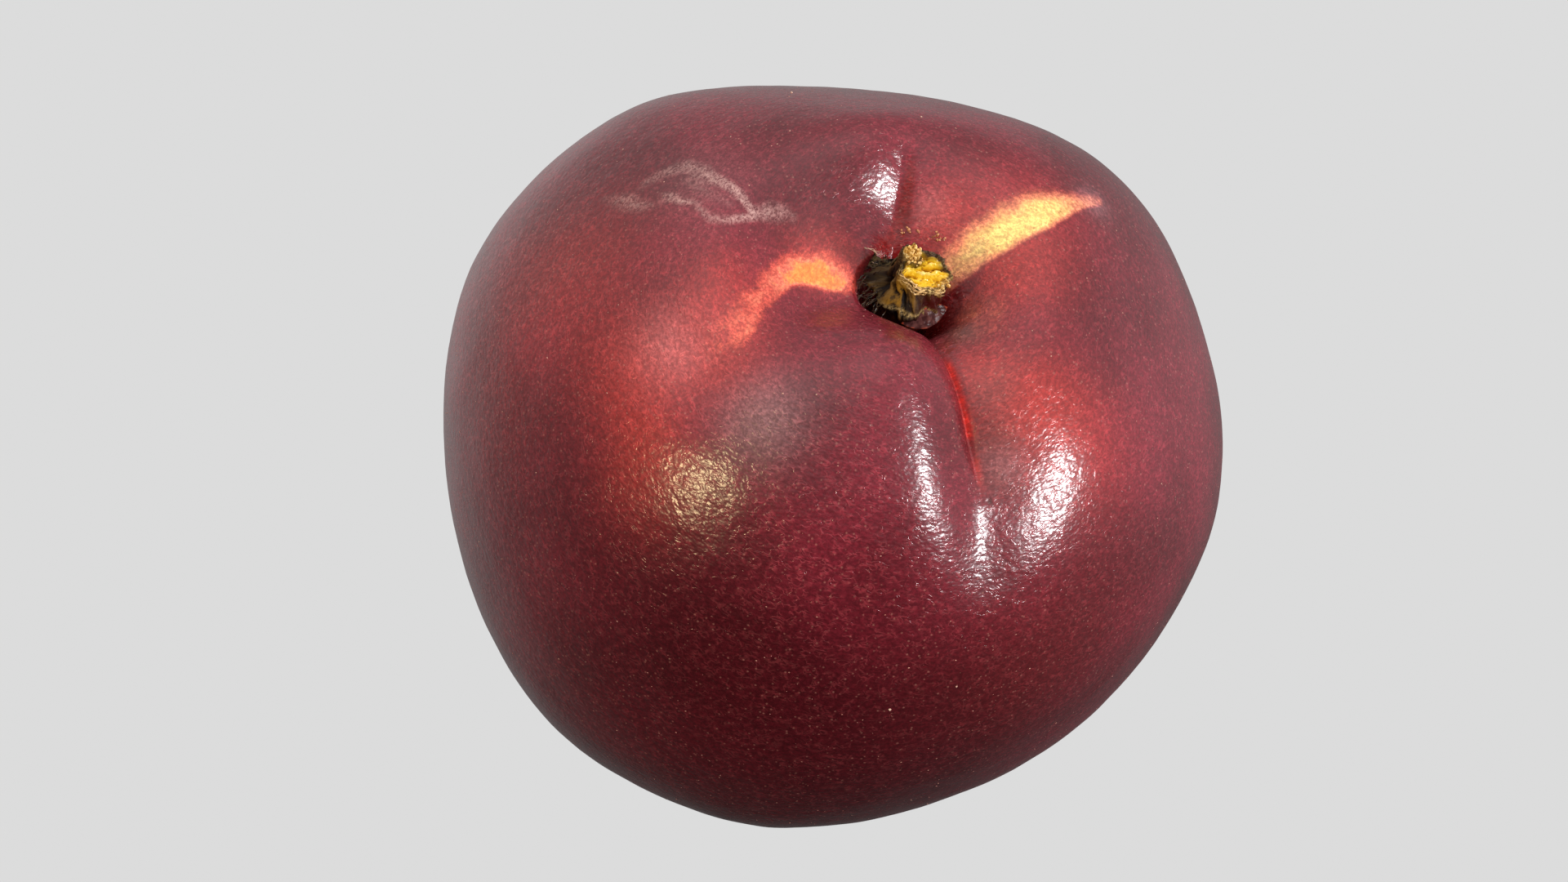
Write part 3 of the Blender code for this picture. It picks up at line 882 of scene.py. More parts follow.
# Yellow of the wood at the break, with painted shade in its pits and painted glints on its ridge tops, as
# the ramp follows the ridges' height
WOOD_COLOURS = (
    (0.14, (0.26, 0.10, 0.003)), (0.30, (0.52, 0.24, 0.005)), (0.46, (0.80, 0.46, 0.012)),
    (0.70, (0.90, 0.58, 0.035)), (0.92, (1.00, 0.86, 0.32)),
)
KNOB_COLOURS = (
    (0.22, (0.13, 0.048, 0.008)), (0.42, (0.42, 0.20, 0.035)),
    (0.62, (0.82, 0.48, 0.12)), (0.85, (1.00, 0.82, 0.42)),
)
# Pairs of a dark and a light colour
SHRED_COLOURS = ((0.008, 0.002, 0.002), (0.050, 0.029, 0.011))
WALL_COLOURS = ((0.060, 0.035, 0.025), (0.20, 0.13, 0.075))
LAYER_COLOURS = ((0.10, 0.055, 0.016), (0.66, 0.46, 0.18))
STUB_COLOURS = {
    "ochre": (0.23, 0.112, 0.012),
    # Painted shade at the stub's foot, deep in the socket
    "low": (0.030, 0.008, 0.004),
    # Dark red of the stub's right side: partly its wet red, partly painted shade
    "shaded_dark_red": (0.045, 0.003, 0.002),
    "fringe": (0.40, 0.27, 0.11),
}


def bark_colour(graph, mark, grain, blotch):
    """Olive bark with an ochre side, torn shreds, a pale wall, painted shade at its foot and a dark red
    side, partly wet red and partly painted shade.
    """
    ridge = mark["ridge"]
    bark = graph.ramp((ridge * 0.75 + blotch * 0.45 - 0.10).clamped(), BARK_COLOURS)
    yellowish = (mark["ochre"] * (ridge * 0.8 + blotch * 0.6).smooth(0.55, 0.88) * 1.2).clamped()
    bark = graph.mix(yellowish, bark, STUB_COLOURS["ochre"])
    bark = graph.mix(mark["torn"] * 0.85, bark, graph.mix(ridge.smooth(0.45, 0.85), *SHRED_COLOURS))
    bark = graph.mix(mark["wall"] * 0.8, bark, graph.mix(grain.smooth(0.4, 0.65), *WALL_COLOURS))
    bark = graph.mix(mark["low"] * 0.85, bark, STUB_COLOURS["low"])
    bark = graph.mix(mark["shaded_dark_red"], bark, STUB_COLOURS["shaded_dark_red"])
    return graph.mix((mark["fringe"] * grain.smooth(0.35, 0.60)).clamped(), bark, STUB_COLOURS["fringe"])


def stub_material():
    """Olive bark with dark furrows, partly painted shade, a wet yellow break with painted shade in its pits
    and painted glints on its ridges, a pale torn rim and a crumbly knob.
    """

    def uneven(graph):
        names = ("ridge", "broken", "knob", "rim", "low", "ochre", "shaded_dark_red", "wall", "torn", "fringe")
        mark = {name: graph.attribute(name) for name in names}
        ridge, broken = mark["ridge"], mark["broken"]
        grain, blotch = graph.noise(graph.place(), *STUB_GRAIN), graph.noise(graph.place(), *STUB_BLOTCH)
        wood = graph.ramp((blotch * 0.60 + ridge * 0.60 - 0.12).clamped(), WOOD_COLOURS)
        colour = graph.mix(broken, bark_colour(graph, mark, grain, blotch), wood)
        colour = graph.mix(mark["rim"], colour, graph.mix(grain.smooth(0.40, 0.62), *LAYER_COLOURS))
        crumbly = graph.ramp((grain * 1.3 + ridge * 0.4 - 0.30).clamped(), KNOB_COLOURS)
        wet = broken * 0.9 + mark["shaded_dark_red"] * 0.10 + ridge.smooth(0.55, 0.90) * 0.1
        return {
            "Base Color": graph.mix(mark["knob"], colour, crumbly),
            "Roughness": 0.40 + grain * 0.2,
            "Coat Weight": wet.clamped(),
            "Normal": graph.bumps(grain * 0.6 + blotch, STUB_RELIEF, 0.7),
        }

    uniform = {"IOR": 1.5, "Specular IOR Level": 0.10, "Coat Roughness": 0.08}
    return new_material("nectarine_stub", uniform, uneven)


def plain_material(name, dark, light, size, roughness, **uniform):
    """A material that varies between two colours, with fine roughness and bumps of one size."""

    def uneven(graph):
        blotch = graph.noise(graph.place(), size, 3.0, 0.6)
        return {
            "Base Color": graph.mix(blotch.smooth(0.36, 0.62), dark, light),
            "Roughness": roughness + (blotch - 0.5) * 0.3,
            "Normal": graph.bumps(blotch, PLAIN_RELIEF, 0.5),
        }

    return new_material(name, uniform, uneven)


class StemSettings(bpy.types.PropertyGroup):
    """Sizes of the stub and of what is torn round it"""

    side_rows: IntProperty(name="Side rows", description="Rows of faces up the stub", default=110, min=20)
    top_rows: IntProperty(name="Top rows", description="Rows of faces over the break", default=44, min=8)
    columns: IntProperty(name="Columns", description="Faces round the stub", default=150, min=24)
    bark_relief: FloatProperty(
        name="Bark relief", description="Depth of the bark's furrows",
        default=0.00030, subtype="DISTANCE", unit="LENGTH")
    break_relief: FloatProperty(
        name="Break relief", description="Height of the break's ridges",
        default=0.00042, subtype="DISTANCE", unit="LENGTH")
    shred_depth: FloatProperty(
        name="Shred depth", description="How deep the collar is torn",
        default=0.00080, subtype="DISTANCE", unit="LENGTH")
    strand_width: FloatProperty(
        name="Strand width", description="Width of a torn fibre",
        default=0.00006, subtype="DISTANCE", unit="LENGTH")
    crumb_size: FloatProperty(
        name="Crumb size", description="Radius of a crumb",
        default=0.00014, subtype="DISTANCE", unit="LENGTH")


class NECTARINE_OT_stub(bpy.types.Operator):
    """Makes the broken stub of the stem"""

    bl_idname = "nectarine.stub"
    bl_label = "Stub"

    def execute(self, context):
        points, marks = self.torn(context.scene.nectarine_stem)
        root = (0.0, 0.0, points[0, 0, 2])
        tip = points[-1].mean(axis=0)
        stacked = np.concatenate([points.reshape(-1, 3), (root, tip)]) + (0.0, 0.0, SOCKET_FLOOR)
        marks = {name: np.append(values.ravel(), (0.0, values[-1].mean())) for name, values in marks.items()}
        piece = make_piece("stem_stub", stand(stacked), closed_faces(*points.shape[:2]), marks)
        piece.data.materials.append(stub_material())
        place_piece(piece, "stem")
        return {"FINISHED"}

    def torn(self, settings):
        """The stub's points with their furrows, ridges and shreds, and the numbers its material reads."""
        points, heading, inward, knob, wall = stem_shape(settings)
        on_side = (inward == 0.0).astype(float)
        height = points[..., 2].copy()
        grown = 1.0 - fade(height, *BARK_STARTS)
        furrows = lengthwise(points, heading, *FURROWS)
        shreds = lengthwise(points, heading, *SHREDS)
        left = beside(heading, *SHREDS_BESIDE) * fade(height, *SHREDS_FADE) * on_side
        flare = bell((height - COLLAR_HEIGHT) / FLARE_THICKNESS) * on_side
        rough = furrows + 0.6 * ripple(points, *LUMPS) + 0.8 * flare * shreds
        push = settings.bark_relief * rough * grown * on_side
        push -= settings.shred_depth * left * (0.45 + 1.7 * shreds).clip(0.0, 1.5) * grown
        points += direction(90.0, heading) * push[..., None]
        points[..., 2] += 0.45 * settings.shred_depth * left * (furrows + 0.6 * shreds) * grown
        ridges = ripple(points * RIDGE_STRETCH, *RIDGES)
        from_rim = np.arange(len(points)) - settings.side_rows + 1.0
        rim = bell(np.where(from_rim > 0.0, from_rim / RIM_ROWS[0], from_rim / RIM_ROWS[1]))[:, None]
        ragged = ripple(points, *RAGGED)
        face = 1.0 - fade(inward, 0.08, 0.20)
        face_only = face * (1.0 - np.clip(2.5 * knob, 0.0, 1.0)) * (1.0 - np.clip(1.3 * wall, 0.0, 1.0))
        lift = settings.break_relief * (ridges * face + 0.7 * ragged * rim + 1.6 * ragged * knob)
        end = bell(np.linalg.norm((points[..., :2] - RIM_END) / RIM_END_HALF_SIZES, axis=-1))
        points[..., 2] += lift + RIM_END_HEIGHT * end * (1.0 - fade(height, *RIM_END_STARTS))
        top_of_knob = np.clip(2.2 * knob - 0.9, 0.0, 1.0) * (inward > 0.02)
        shaded_dark_red = np.clip(1.5 * beside(heading, *SHADED_DARK_RED_BESIDE), 0.0, 1.0)
        return points, {
            "ridge": np.clip(0.5 + 0.9 * np.where(on_side > 0.0, furrows, ridges), 0.0, 1.0),
            "broken": face_only,
            "knob": np.clip(top_of_knob + 0.8 * end * (height > RIM_END_PALE_FROM), 0.0, 1.0),
            "rim": np.clip(1.2 * rim - 0.1, 0.0, 1.0) * beside(heading, *RIM_BESIDE),
            "wall": np.clip(wall + knob * on_side, 0.0, 1.0) * (1.0 - face_only),
            # Painted shade at the foot, deep in the socket
            "low": fade(height, *SHADED_FOOT_FADES) * on_side,
            "ochre": sum(share * beside(heading, *place) for share, *place in OCHRE_SIDES) * on_side * grown,
            "shaded_dark_red": shaded_dark_red * fade(height, *SHADED_DARK_RED_FADES) * on_side,
            "torn": left,
            "fringe": bell((height - FRINGE[0]) / FRINGE[1]) * beside(heading, *FRINGE_BESIDE) * on_side,
        }


# Noises of the torn strands and the crumbs, in metres, and how far apart the copies of a line read theirs
WANDER_SIZE = 0.0006
COPIES_APART = 0.05
KNOTS_A_METRE = 2500.0
CRUMB_UNEVENNESS = 0.00016
SPECK_SHAPE = (1.0, 0.7, 0.25)
# The kinds of socket that a geometry tree's inputs have
SOCKET_KINDS = {int: "NodeSocketInt", float: "NodeSocketFloat", type(None): "NodeSocketMaterial"}


def new_tree(name, **inputs):
    """A geometry tree with named inputs, as its graph and its input wires."""
    tree = bpy.data.node_groups.new(name, "GeometryNodeTree")
    tree.interface.new_socket("Geometry", in_out="INPUT", socket_type="NodeSocketGeometry")
    for label, value in inputs.items():
        socket = tree.interface.new_socket(label, in_out="INPUT", socket_type=SOCKET_KINDS[type(value)])
        if value is not None:
            socket.default_value = value
    tree.interface.new_socket("Geometry", in_out="OUTPUT", socket_type="NodeSocketGeometry")
    graph = Graph(tree)
    source = tree.nodes.new("NodeGroupInput")
    return graph, {socket.name: Wire(graph, socket) for socket in source.outputs if socket.name}


def end_tree(graph, geometry, material):
    """Ends a geometry tree in plain geometry with its material."""
    real = graph.node("GeometryNodeRealizeInstances", inputs={"Geometry": geometry})
    smooth = graph.node("GeometryNodeSetShadeSmooth", inputs={"Geometry": real})
    painted = graph.node("GeometryNodeSetMaterial", inputs={"Geometry": smooth, "Material": material})
    sink = graph.tree.nodes.new("NodeGroupOutput")
    graph.tree.links.new(painted.socket, sink.inputs[0])
    return graph.tree


def shaken(graph, geometry, size, reach, start):
    """Geometry moved by smooth noise: the noise's size, how far it moves a point, and where it is read."""
    moved = graph.vector("ADD", graph.node("GeometryNodeInputPosition"), start)
    inputs = {"Vector": graph.scaled(moved, 1.0 / size), "Scale": 1.0}
    texture = graph.node("ShaderNodeTexNoise", inputs=inputs, output="Color")
    offset = graph.scaled(graph.vector("SUBTRACT", texture, (0.5, 0.5, 0.5)), reach)
    return graph.node("GeometryNodeSetPosition", inputs={"Geometry": geometry, "Offset": offset})


def random_vector(graph, low, high, **inputs):
    """A random vector, each part between two numbers."""
    inputs = {0: (low,) * 3, 1: (high,) * 3, **inputs}
    return graph.node("FunctionNodeRandomValue", {"data_type": "FLOAT_VECTOR"}, inputs)


def random_number(graph, low, high, seed):
    """A random number between two numbers."""
    return graph.node("FunctionNodeRandomValue", {"data_type": "FLOAT"}, {2: low, 3: high, "Seed": seed}, 1)


def shaped(graph, geometry, scale):
    """Geometry stretched by three numbers."""
    return graph.node("GeometryNodeTransform", inputs={"Geometry": geometry, "Scale": scale})


def strand_tree():
    """Copies each guide line a few times, lets the copies wander, and gives them flat tapering flesh."""
    graph, wires = new_tree(
        "Torn strands", Copies=3, Apart=0.0002, Wander=0.0003, Width=0.0001, Flatness=0.4, Taper=1.0,
        Points=24, Seed=1, Material=None)
    lines = graph.node("GeometryNodeMeshToCurve", inputs={"Mesh": wires["Geometry"]})
    lines = graph.node("GeometryNodeResampleCurve", inputs={"Curve": lines, "Count": wires["Points"]})
    inputs = {"Geometry": lines, "Amount": wires["Copies"]}
    copies = graph.node("GeometryNodeDuplicateElements", {"domain": "SPLINE"}, inputs)
    index = copies.output("Duplicate Index")
    apart = random_vector(graph, -1.0, 1.0, ID=index, Seed=wires["Seed"])
    inputs = {"Geometry": copies, "Offset": graph.scaled(apart, wires["Apart"])}
    spread = graph.node("GeometryNodeSetPosition", inputs=inputs)
    wandering = shaken(graph, spread, WANDER_SIZE, wires["Wander"], graph.scaled(apart, COPIES_APART))
    along = graph.node("GeometryNodeSplineParameter", output="Factor")
    middle = (1.0 - abs(along * 2.0 - 1.0) ** 3.0).at_least(0.04)
    uneven = graph.node("ShaderNodeTexNoise", inputs={"Scale": KNOTS_A_METRE, "Detail": 2.0})
    thickness = (middle * wires["Taper"] + (1.0 - wires["Taper"])) * (0.45 + uneven * 1.1)
    ring = graph.node("GeometryNodeCurvePrimitiveCircle", inputs={"Resolution": 6, "Radius": wires["Width"]})
    squash = graph.node("ShaderNodeCombineXYZ", inputs={"X": wires["Flatness"], "Y": 1.0, "Z": 1.0})
    tubes = graph.node("GeometryNodeCurveToMesh", inputs={
        "Curve": wandering,
        "Profile Curve": shaped(graph, ring, squash),
        "Scale": thickness,
        "Fill Caps": True,
    })
    return end_tree(graph, tubes, wires["Material"])


def crumb_tree():
    """Puts a small uneven lump on each guide point."""
    graph, wires = new_tree("Crumbs", Size=0.0001, Flatness=0.8, Seed=1, Material=None)
    ball = graph.node("GeometryNodeMeshIcoSphere", inputs={"Radius": 1.0, "Subdivisions": 2})
    thin = wires["Flatness"]
    flat = graph.node("ShaderNodeCombineXYZ", inputs={"X": 1.0, "Y": thin, "Z": thin})
    lumps = graph.node("GeometryNodeInstanceOnPoints", inputs={
        "Points": wires["Geometry"],
        "Instance": shaped(graph, ball, flat),
        "Rotation": random_vector(graph, 0.0, 6.28, Seed=wires["Seed"]),
        "Scale": random_number(graph, 0.5, 1.5, wires["Seed"]) * wires["Size"],
    })
    real = graph.node("GeometryNodeRealizeInstances", inputs={"Geometry": lumps})
    uneven = shaken(graph, real, CRUMB_UNEVENNESS, wires["Size"] * 2.0, (0.0, 0.0, 0.0))
    return end_tree(graph, uneven, wires["Material"])


def speck_tree():
    """Scatters low corky domes over a surface and leaves the surface itself out."""
    graph, wires = new_tree("Specks", Density=100000.0, Size=0.0001, Seed=1, Material=None)
    inputs = {"Mesh": wires["Geometry"], "Density": wires["Density"], "Seed": wires["Seed"]}
    scatter = graph.node("GeometryNodeDistributePointsOnFaces", inputs=inputs, output="Points")
    ball = graph.node("GeometryNodeMeshIcoSphere", inputs={"Radius": 1.0, "Subdivisions": 1})
    domes = graph.node("GeometryNodeInstanceOnPoints", inputs={
        "Points": scatter,
        "Instance": shaped(graph, ball, SPECK_SHAPE),
        "Rotation": scatter.output("Rotation"),
        "Scale": (0.45 + random_number(graph, 0.0, 1.0, wires["Seed"]) ** 3.0 * 1.1) * wires["Size"],
    })
    return end_tree(graph, domes, wires["Material"])


def evaluated_mesh(piece, name):
    """The mesh that an object's modifiers make, as a plain mesh."""
    graph = bpy.context.evaluated_depsgraph_get()
    data = bpy.data.meshes.new_from_object(piece.evaluated_get(graph), depsgraph=graph)
    data.name = name
    return data


def grow(name, guide, tree, slot, **values):
    """Runs a geometry tree on a guide mesh and hands the result over as a plain mesh object."""
    holder = in_scene(name + "_guide", guide)
    modifier = holder.modifiers.new("Grow", "NODES")
    modifier.node_group = tree
    sockets = {item.name: item.identifier for item in tree.interface.items_tree if item.in_out == "INPUT"}
    for label, value in values.items():
        modifier[sockets[label]] = value
    data = evaluated_mesh(holder, name)
    holder.modifiers.remove(modifier)
    bpy.data.objects.remove(holder)
    if not data.polygons:
        raise RuntimeError(f"{name}: its geometry tree made no faces")
    place_piece(in_scene(name, data))


def guides(chains):
    """A mesh of polylines, for chains of points in the fruit's frame."""
    points, edges = [], []
    for chain in chains:
        first = len(points)
        points += stand(np.array(chain)).tolist()
        edges += [(first + i, first + i + 1) for i in range(len(chain) - 1)]
    data = bpy.data.meshes.new("guides")
    data.from_pydata(points, edges, [])
    return data


def rim_line(inset, drop, start, end):
    """A line round the stub's rim: moved inwards and down, between two headings."""
    heading = np.linspace(start, end, RIM_POINTS)
    rim = stem_side(np.ones(RIM_POINTS), heading)
    whole = np.linspace(-180.0, 180.0, RIM_POINTS, endpoint=False)
    middle = stem_side(np.ones(RIM_POINTS), whole).mean(axis=0)
    line = middle + (rim - middle) * (1.0 - inset)
    line[:, 2] = rim[:, 2] - drop + SOCKET_FLOOR
    return line


# Lines of the torn rim: how far in, how far down, first and last heading
RIM_LINES = (
    (0.04, -0.00010, -70.0, 95.0), (-0.05, 0.00018, -50.0, 80.0),
    (-0.14, 0.00042, -40.0, 45.0), (0.14, 0.00002, -85.0, 60.0),
)
RIM_POINTS = 60


class NECTARINE_OT_rim(bpy.types.Operator):
    """Makes the ragged pale layers round the broken rim and along the torn collar"""

    bl_idname = "nectarine.rim"
    bl_label = "Torn rim"

    def execute(self, context):
        wood = plain_material("torn_wood", (0.26, 0.12, 0.025), (0.86, 0.58, 0.24), 0.00030, 0.36)
        lines = guides([rim_line(*line) for line in RIM_LINES])
        grow("torn_rim", lines, strand_tree(), "stem",
             Copies=2, Apart=0.00010, Wander=0.0006, Width=0.00008, Flatness=0.45, Taper=0.8,
             Points=70, Seed=3, Material=wood)
        return {"FINISHED"}


# Pale fibres as chains of points in millimetres, and how many lines the dark ones follow
PALE_FIBRES = (
    ((-3.55, 3.95, 26.9), (-3.0, 3.6, 27.2), (-2.2, 2.9, 27.5)),
    ((-3.05, 1.9, 26.3), (-2.85, 1.3, 26.6), (-2.85, 0.5, 26.2)),
    ((-2.75, 2.5, 26.9), (-2.45, 2.2, 27.3)),
)
DARK_FIBRES = 14
DARK_FIBRES_START = -158.0
DARK_FIBRES_SPAN = 105.0


def dark_fibre(k):
    """A line in millimetres from the stub's torn collar to the cavity's left wall."""
    heading = DARK_FIBRES_START + DARK_FIBRES_SPAN * k / (DARK_FIBRES - 1)
    stops = (
        (2.5, heading, 27.9 + 0.7 * np.sin(2.4 * k)),
        (3.3, heading + 7.0 * np.cos(3.3 * k), 27.0 + 0.6 * np.cos(1.7 * k)),
        (4.0, heading + 16.0 * np.sin(2.9 * k), 25.9 + 0.6 * np.sin(3.1 * k)),
    )
    return [(*(reach * direction(90.0, turn)[:2]), level) for reach, turn, level in stops]


class NECTARINE_OT_fibres(bpy.types.Operator):
    """Makes the torn fibres between the stub and the cavity's wall"""

    bl_idname = "nectarine.fibres"
    bl_label = "Torn fibres"

    def execute(self, context):
        width = context.scene.nectarine_stem.strand_width
        pale = plain_material("pale_fibre", (0.30, 0.13, 0.09), (0.72, 0.50, 0.38), 0.0003, 0.38)
        dark = plain_material("dark_fibre", (0.004, 0.003, 0.004), (0.060, 0.034, 0.018), 0.0003, 0.22)
        tree = strand_tree()
        for name, chains, material, copies, apart, share in (
            ("pale_fibres", PALE_FIBRES, pale, 2, 0.00012, 0.6),
            ("dark_fibres", [dark_fibre(k) for k in range(DARK_FIBRES)], dark, 3, 0.00040, 1.0),
        ):
            lines = guides([np.array(chain) * MM for chain in chains])
            grow(name, lines, tree, "stem",
                 Copies=copies, Apart=apart, Wander=0.0007, Width=share * width, Flatness=0.6, Taper=1.0,
                 Points=26, Seed=5, Material=material)
        return {"FINISHED"}


# Crumbs at the right end of the rim, in millimetres, and loose ones on the skin, as places on the fruit
RIM_CRUMBS = (
    (2.40, -0.50, 29.75), (2.60, -0.35, 29.65), (2.25, -0.65, 29.80), (2.62, -0.60, 29.50),
    (2.35, -0.30, 29.85), (2.00, -0.72, 29.80), (1.75, -0.85, 29.75),
)
LOOSE_CRUMBS = (
    (11.5, -179.8), (11.8, 177.8), (11.8, 171.2), (11.7, 158.5), (12.0, 156.0), (11.8, 152.8), (11.3, 155.0),
)
LOOSE_CRUMB_SPREAD = 0.00022
KNOB_CRUMBS = 24
# Each group of crumbs: its slot, its size beside the setting's, a dark and a light colour
CRUMB_GROUPS = {
    "knob_crumbs": ("stem", 1.00, (0.50, 0.22, 0.03), (1.00, 0.72, 0.26)),
    "loose_crumbs": ("stem", 0.90, (0.30, 0.085, 0.035), (0.72, 0.34, 0.16)),
    "flecks": ("skin", 0.75, (0.45, 0.22, 0.16), (0.72, 0.50, 0.38)),
}


class NECTARINE_OT_crumbs(bpy.types.Operator):
    """Makes the cream crumbs on the knob, the loose ones on the skin and the skin's lone flecks"""

    bl_idname = "nectarine.crumbs"
    bl_label = "Crumbs"

    def execute(self, context):
        settings = context.scene.nectarine_stem
        loose = skin(*np.transpose(LOOSE_CRUMBS))
        spread = np.random.default_rng(6).uniform(-LOOSE_CRUMB_SPREAD, LOOSE_CRUMB_SPREAD, (3, *loose.shape))
        places = {
            "knob_crumbs": np.concatenate([self.over_knob(settings), np.array(RIM_CRUMBS) * MM]),
            "loose_crumbs": (loose + spread * (1.0, 1.0, 0.2)).reshape(-1, 3),
            "flecks": skin(*np.transpose(FLECKS)),
        }
        for name, (slot, share, dark, light) in CRUMB_GROUPS.items():
            data = bpy.data.meshes.new(name + "_guides")
            data.from_pydata(stand(places[name]).tolist(), [], [])
            material = plain_material(name, dark, light, 0.0002, 0.35)
            size = share * settings.crumb_size
            grow(name, data, crumb_tree(), slot, Size=size, Flatness=0.7, Seed=2, Material=material)
        return {"FINISHED"}

    def over_knob(self, settings):
        """Places spread over the knob's top, in the fruit's frame."""
        points, heading, inward, knob, wall = stem_shape(settings)
        places = points[(knob > 0.30) & (inward > 0.0)] + (0.0, 0.0, SOCKET_FLOOR)
        return places[np.random.default_rng(8).choice(len(places), KNOB_CRUMBS, replace=False)]


class NECTARINE_OT_specks(bpy.types.Operator):
    """Scatters the raised corky specks over the skin"""

    bl_idname = "nectarine.specks"
    bl_label = "Specks"

    def execute(self, context):
        data = bpy.data.objects["nectarine_skin"].data.copy()
        cork = plain_material("corky_speck", (0.34, 0.11, 0.085), (0.64, 0.33, 0.25), 0.0006, 0.45)
        grow("skin_specks", data, speck_tree(), "skin",
             Density=180000.0, Size=0.00006, Seed=4, Material=cork)
        return {"FINISHED"}


# Upper and lower edge of each sheet in millimetres, its rows, its columns and how far it wobbles in metres
WEB = (
    ((-2.45, 4.05, 26.2), (-2.39, 3.30, 26.9), (-1.99, 2.47, 27.4),
     (-1.56, 2.15, 27.9), (-1.38, 1.85, 29.0), (-1.35, 1.70, 29.8)),
    ((-3.5, 3.1, 25.9), (-3.0, 2.5, 26.3), (-2.5, 1.9, 26.8),
     (-2.2, 1.5, 27.3), (-1.9, 1.2, 28.2), (-1.6, 1.2, 29.2)),
    16, 30, 0.00022,
)
GUM = (
    ((-0.5, -2.70, 26.6), (0.1, -2.35, 27.0), (0.7, -2.00, 27.3),
     (1.4, -1.50, 27.6), (2.3, -1.0, 27.7), (3.1, -1.15, 27.3)),
    ((-0.5, -2.75, 26.6), (0.1, -3.05, 26.6), (0.9, -3.15, 26.7),
     (1.6, -3.05, 26.7), (2.6, -2.2, 26.8), (3.1, -1.20, 27.3)),
    18, 44, 0.00006,
)
SHEET_THICKNESS = 0.00008
SHEET_UNEVENNESS = (0.0008, 3)
SHEET_SEEDS = (1.0, 7.0, 13.0)
SHEET_EDGE = 0.22
SMOOTHINGS = 10


def sheet_edge(stops, columns):
    """A smooth line of points through some stops."""
    share = np.linspace(0.0, 1.0, columns)
    at_stops = np.linspace(0.0, 1.0, len(stops))
    line = np.stack([np.interp(share, at_stops, axis) for axis in np.transpose(stops)], axis=-1)
    for _ in range(SMOOTHINGS):
        line[1:-1] = 0.5 * (line[:-2] + line[2:])
    return line


def sheet_piece(name, material, upper, lower, rows, columns, wobble):
    """A thin uneven sheet between two lines of points in millimetres."""
    down = np.linspace(0.0, 1.0, rows)[:, None, None]
    points = (sheet_edge(upper, columns) * (1.0 - down) + sheet_edge(lower, columns) * down) * MM
    points += wobble * np.stack([ripple(points, *SHEET_UNEVENNESS, seed) for seed in SHEET_SEEDS], axis=-1)
    row, column = np.meshgrid(np.arange(rows - 1), np.arange(columns - 1), indexing="ij")
    here = row * columns + column
    faces = np.stack([here, here + 1, here + columns + 1, here + columns], axis=-1).reshape(-1, 4).tolist()
    share = np.linspace(0.0, 1.0, columns)
    edge = np.minimum(np.minimum(down, 1.0 - down)[..., 0], np.minimum(share, 1.0 - share))
    piece = make_piece(name, stand(points), faces, {"edge": 1.0 - fade(edge, 0.0, SHEET_EDGE).ravel()})
    solid = piece.modifiers.new("Thickness", "SOLIDIFY")
    solid.thickness = SHEET_THICKNESS
    solid.offset = 0.0
    piece.data.materials.append(material)
    made = evaluated_mesh(piece, name)
    piece.modifiers.clear()
    piece.data = made
    place_piece(piece)


def gum_material():
    """Glossy red-brown gum, orange-red along its edge."""

    def uneven(graph):
        place = graph.place()
        blotch = graph.noise(place, 0.0006, 2.0, 0.6)
        colour = graph.mix(blotch.smooth(0.35, 0.65), (0.034, 0.009, 0.009), (0.105, 0.036, 0.032))
        at_edge = (1.0 - graph.attribute("edge")).smooth(0.72, 1.0)
        rim = at_edge * graph.noise(place, 0.0012, 2.0, 0.6).smooth(0.40, 0.56)
        return {
            "Base Color": graph.mix((rim * 0.9).clamped(), colour, (0.55, 0.070, 0.022)),
            "Roughness": 0.14 + blotch * 0.12,
            "Normal": graph.bumps(blotch, GUM_RELIEF, 0.5),
        }

    return new_material("dried_gum", {"IOR": 1.5, "Specular IOR Level": 0.025}, uneven)


class NECTARINE_OT_films(bpy.types.Operator):
    """Makes the web behind the stub's left and the film of dried gum at its front right"""

    bl_idname = "nectarine.films"
    bl_label = "Web and gum"

    def execute(self, context):
        dull = {"Specular IOR Level": 0.15}
        web = plain_material("dried_web", (0.006, 0.004, 0.003), (0.100, 0.068, 0.030), 0.0004, 0.40, **dull)
        sheet_piece("dried_web", web, *WEB)
        sheet_piece("dried_gum", gum_material(), *GUM)
        return {"FINISHED"}


# The photograph's camera: elevation in degrees, lens and sensor in mm, distance in metres, shift
CAMERA_ELEVATION = 60.5
CAMERA_LENS = 50.0
CAMERA_SENSOR = 36.0
CAMERA_DISTANCE = 0.1959
CAMERA_SHIFT = (-0.03073, 0.00938)
CAMERA_CLIP_START = 0.005
FRUIT_CENTRE = Vector((0.0, 0.0, CENTRE_HEIGHT))

# Soft glows of the surround, seen from the camera: right, up, towards it, strength
GLOWS = (
    (0.0, 1.0, 1.0, 1.40),
    (-1.0, 1.0, -1.0, 0.63),
    (1.0, 0.3, 0.0, 0.70),
    (-1.0, 1.0, 1.0, 0.20),
    (1.0, 1.0, -1.0, 0.20),
    (-1.0, 0.0, -0.5, 0.25),
    (1.0, -0.5, 0.2, 0.08),
)
GLOW_SHARPNESS = 4.0

# Lights, as their ways seen from the camera, and their distance from the fruit in metres
KEY_WAY = (0.74, -0.055, 0.68)
KEY_COLOUR = (1.0, 0.98, 1.0)
WARM_WAY = (-0.59, -0.084, 0.805)
WARM_COLOUR = (1.0, 0.78, 0.42)
WARM_SIZE = 0.04
LIGHT_DISTANCE = 0.6
FLOOR_HALF_WIDTH = 6.0
FLOOR_DROP = 0.00002


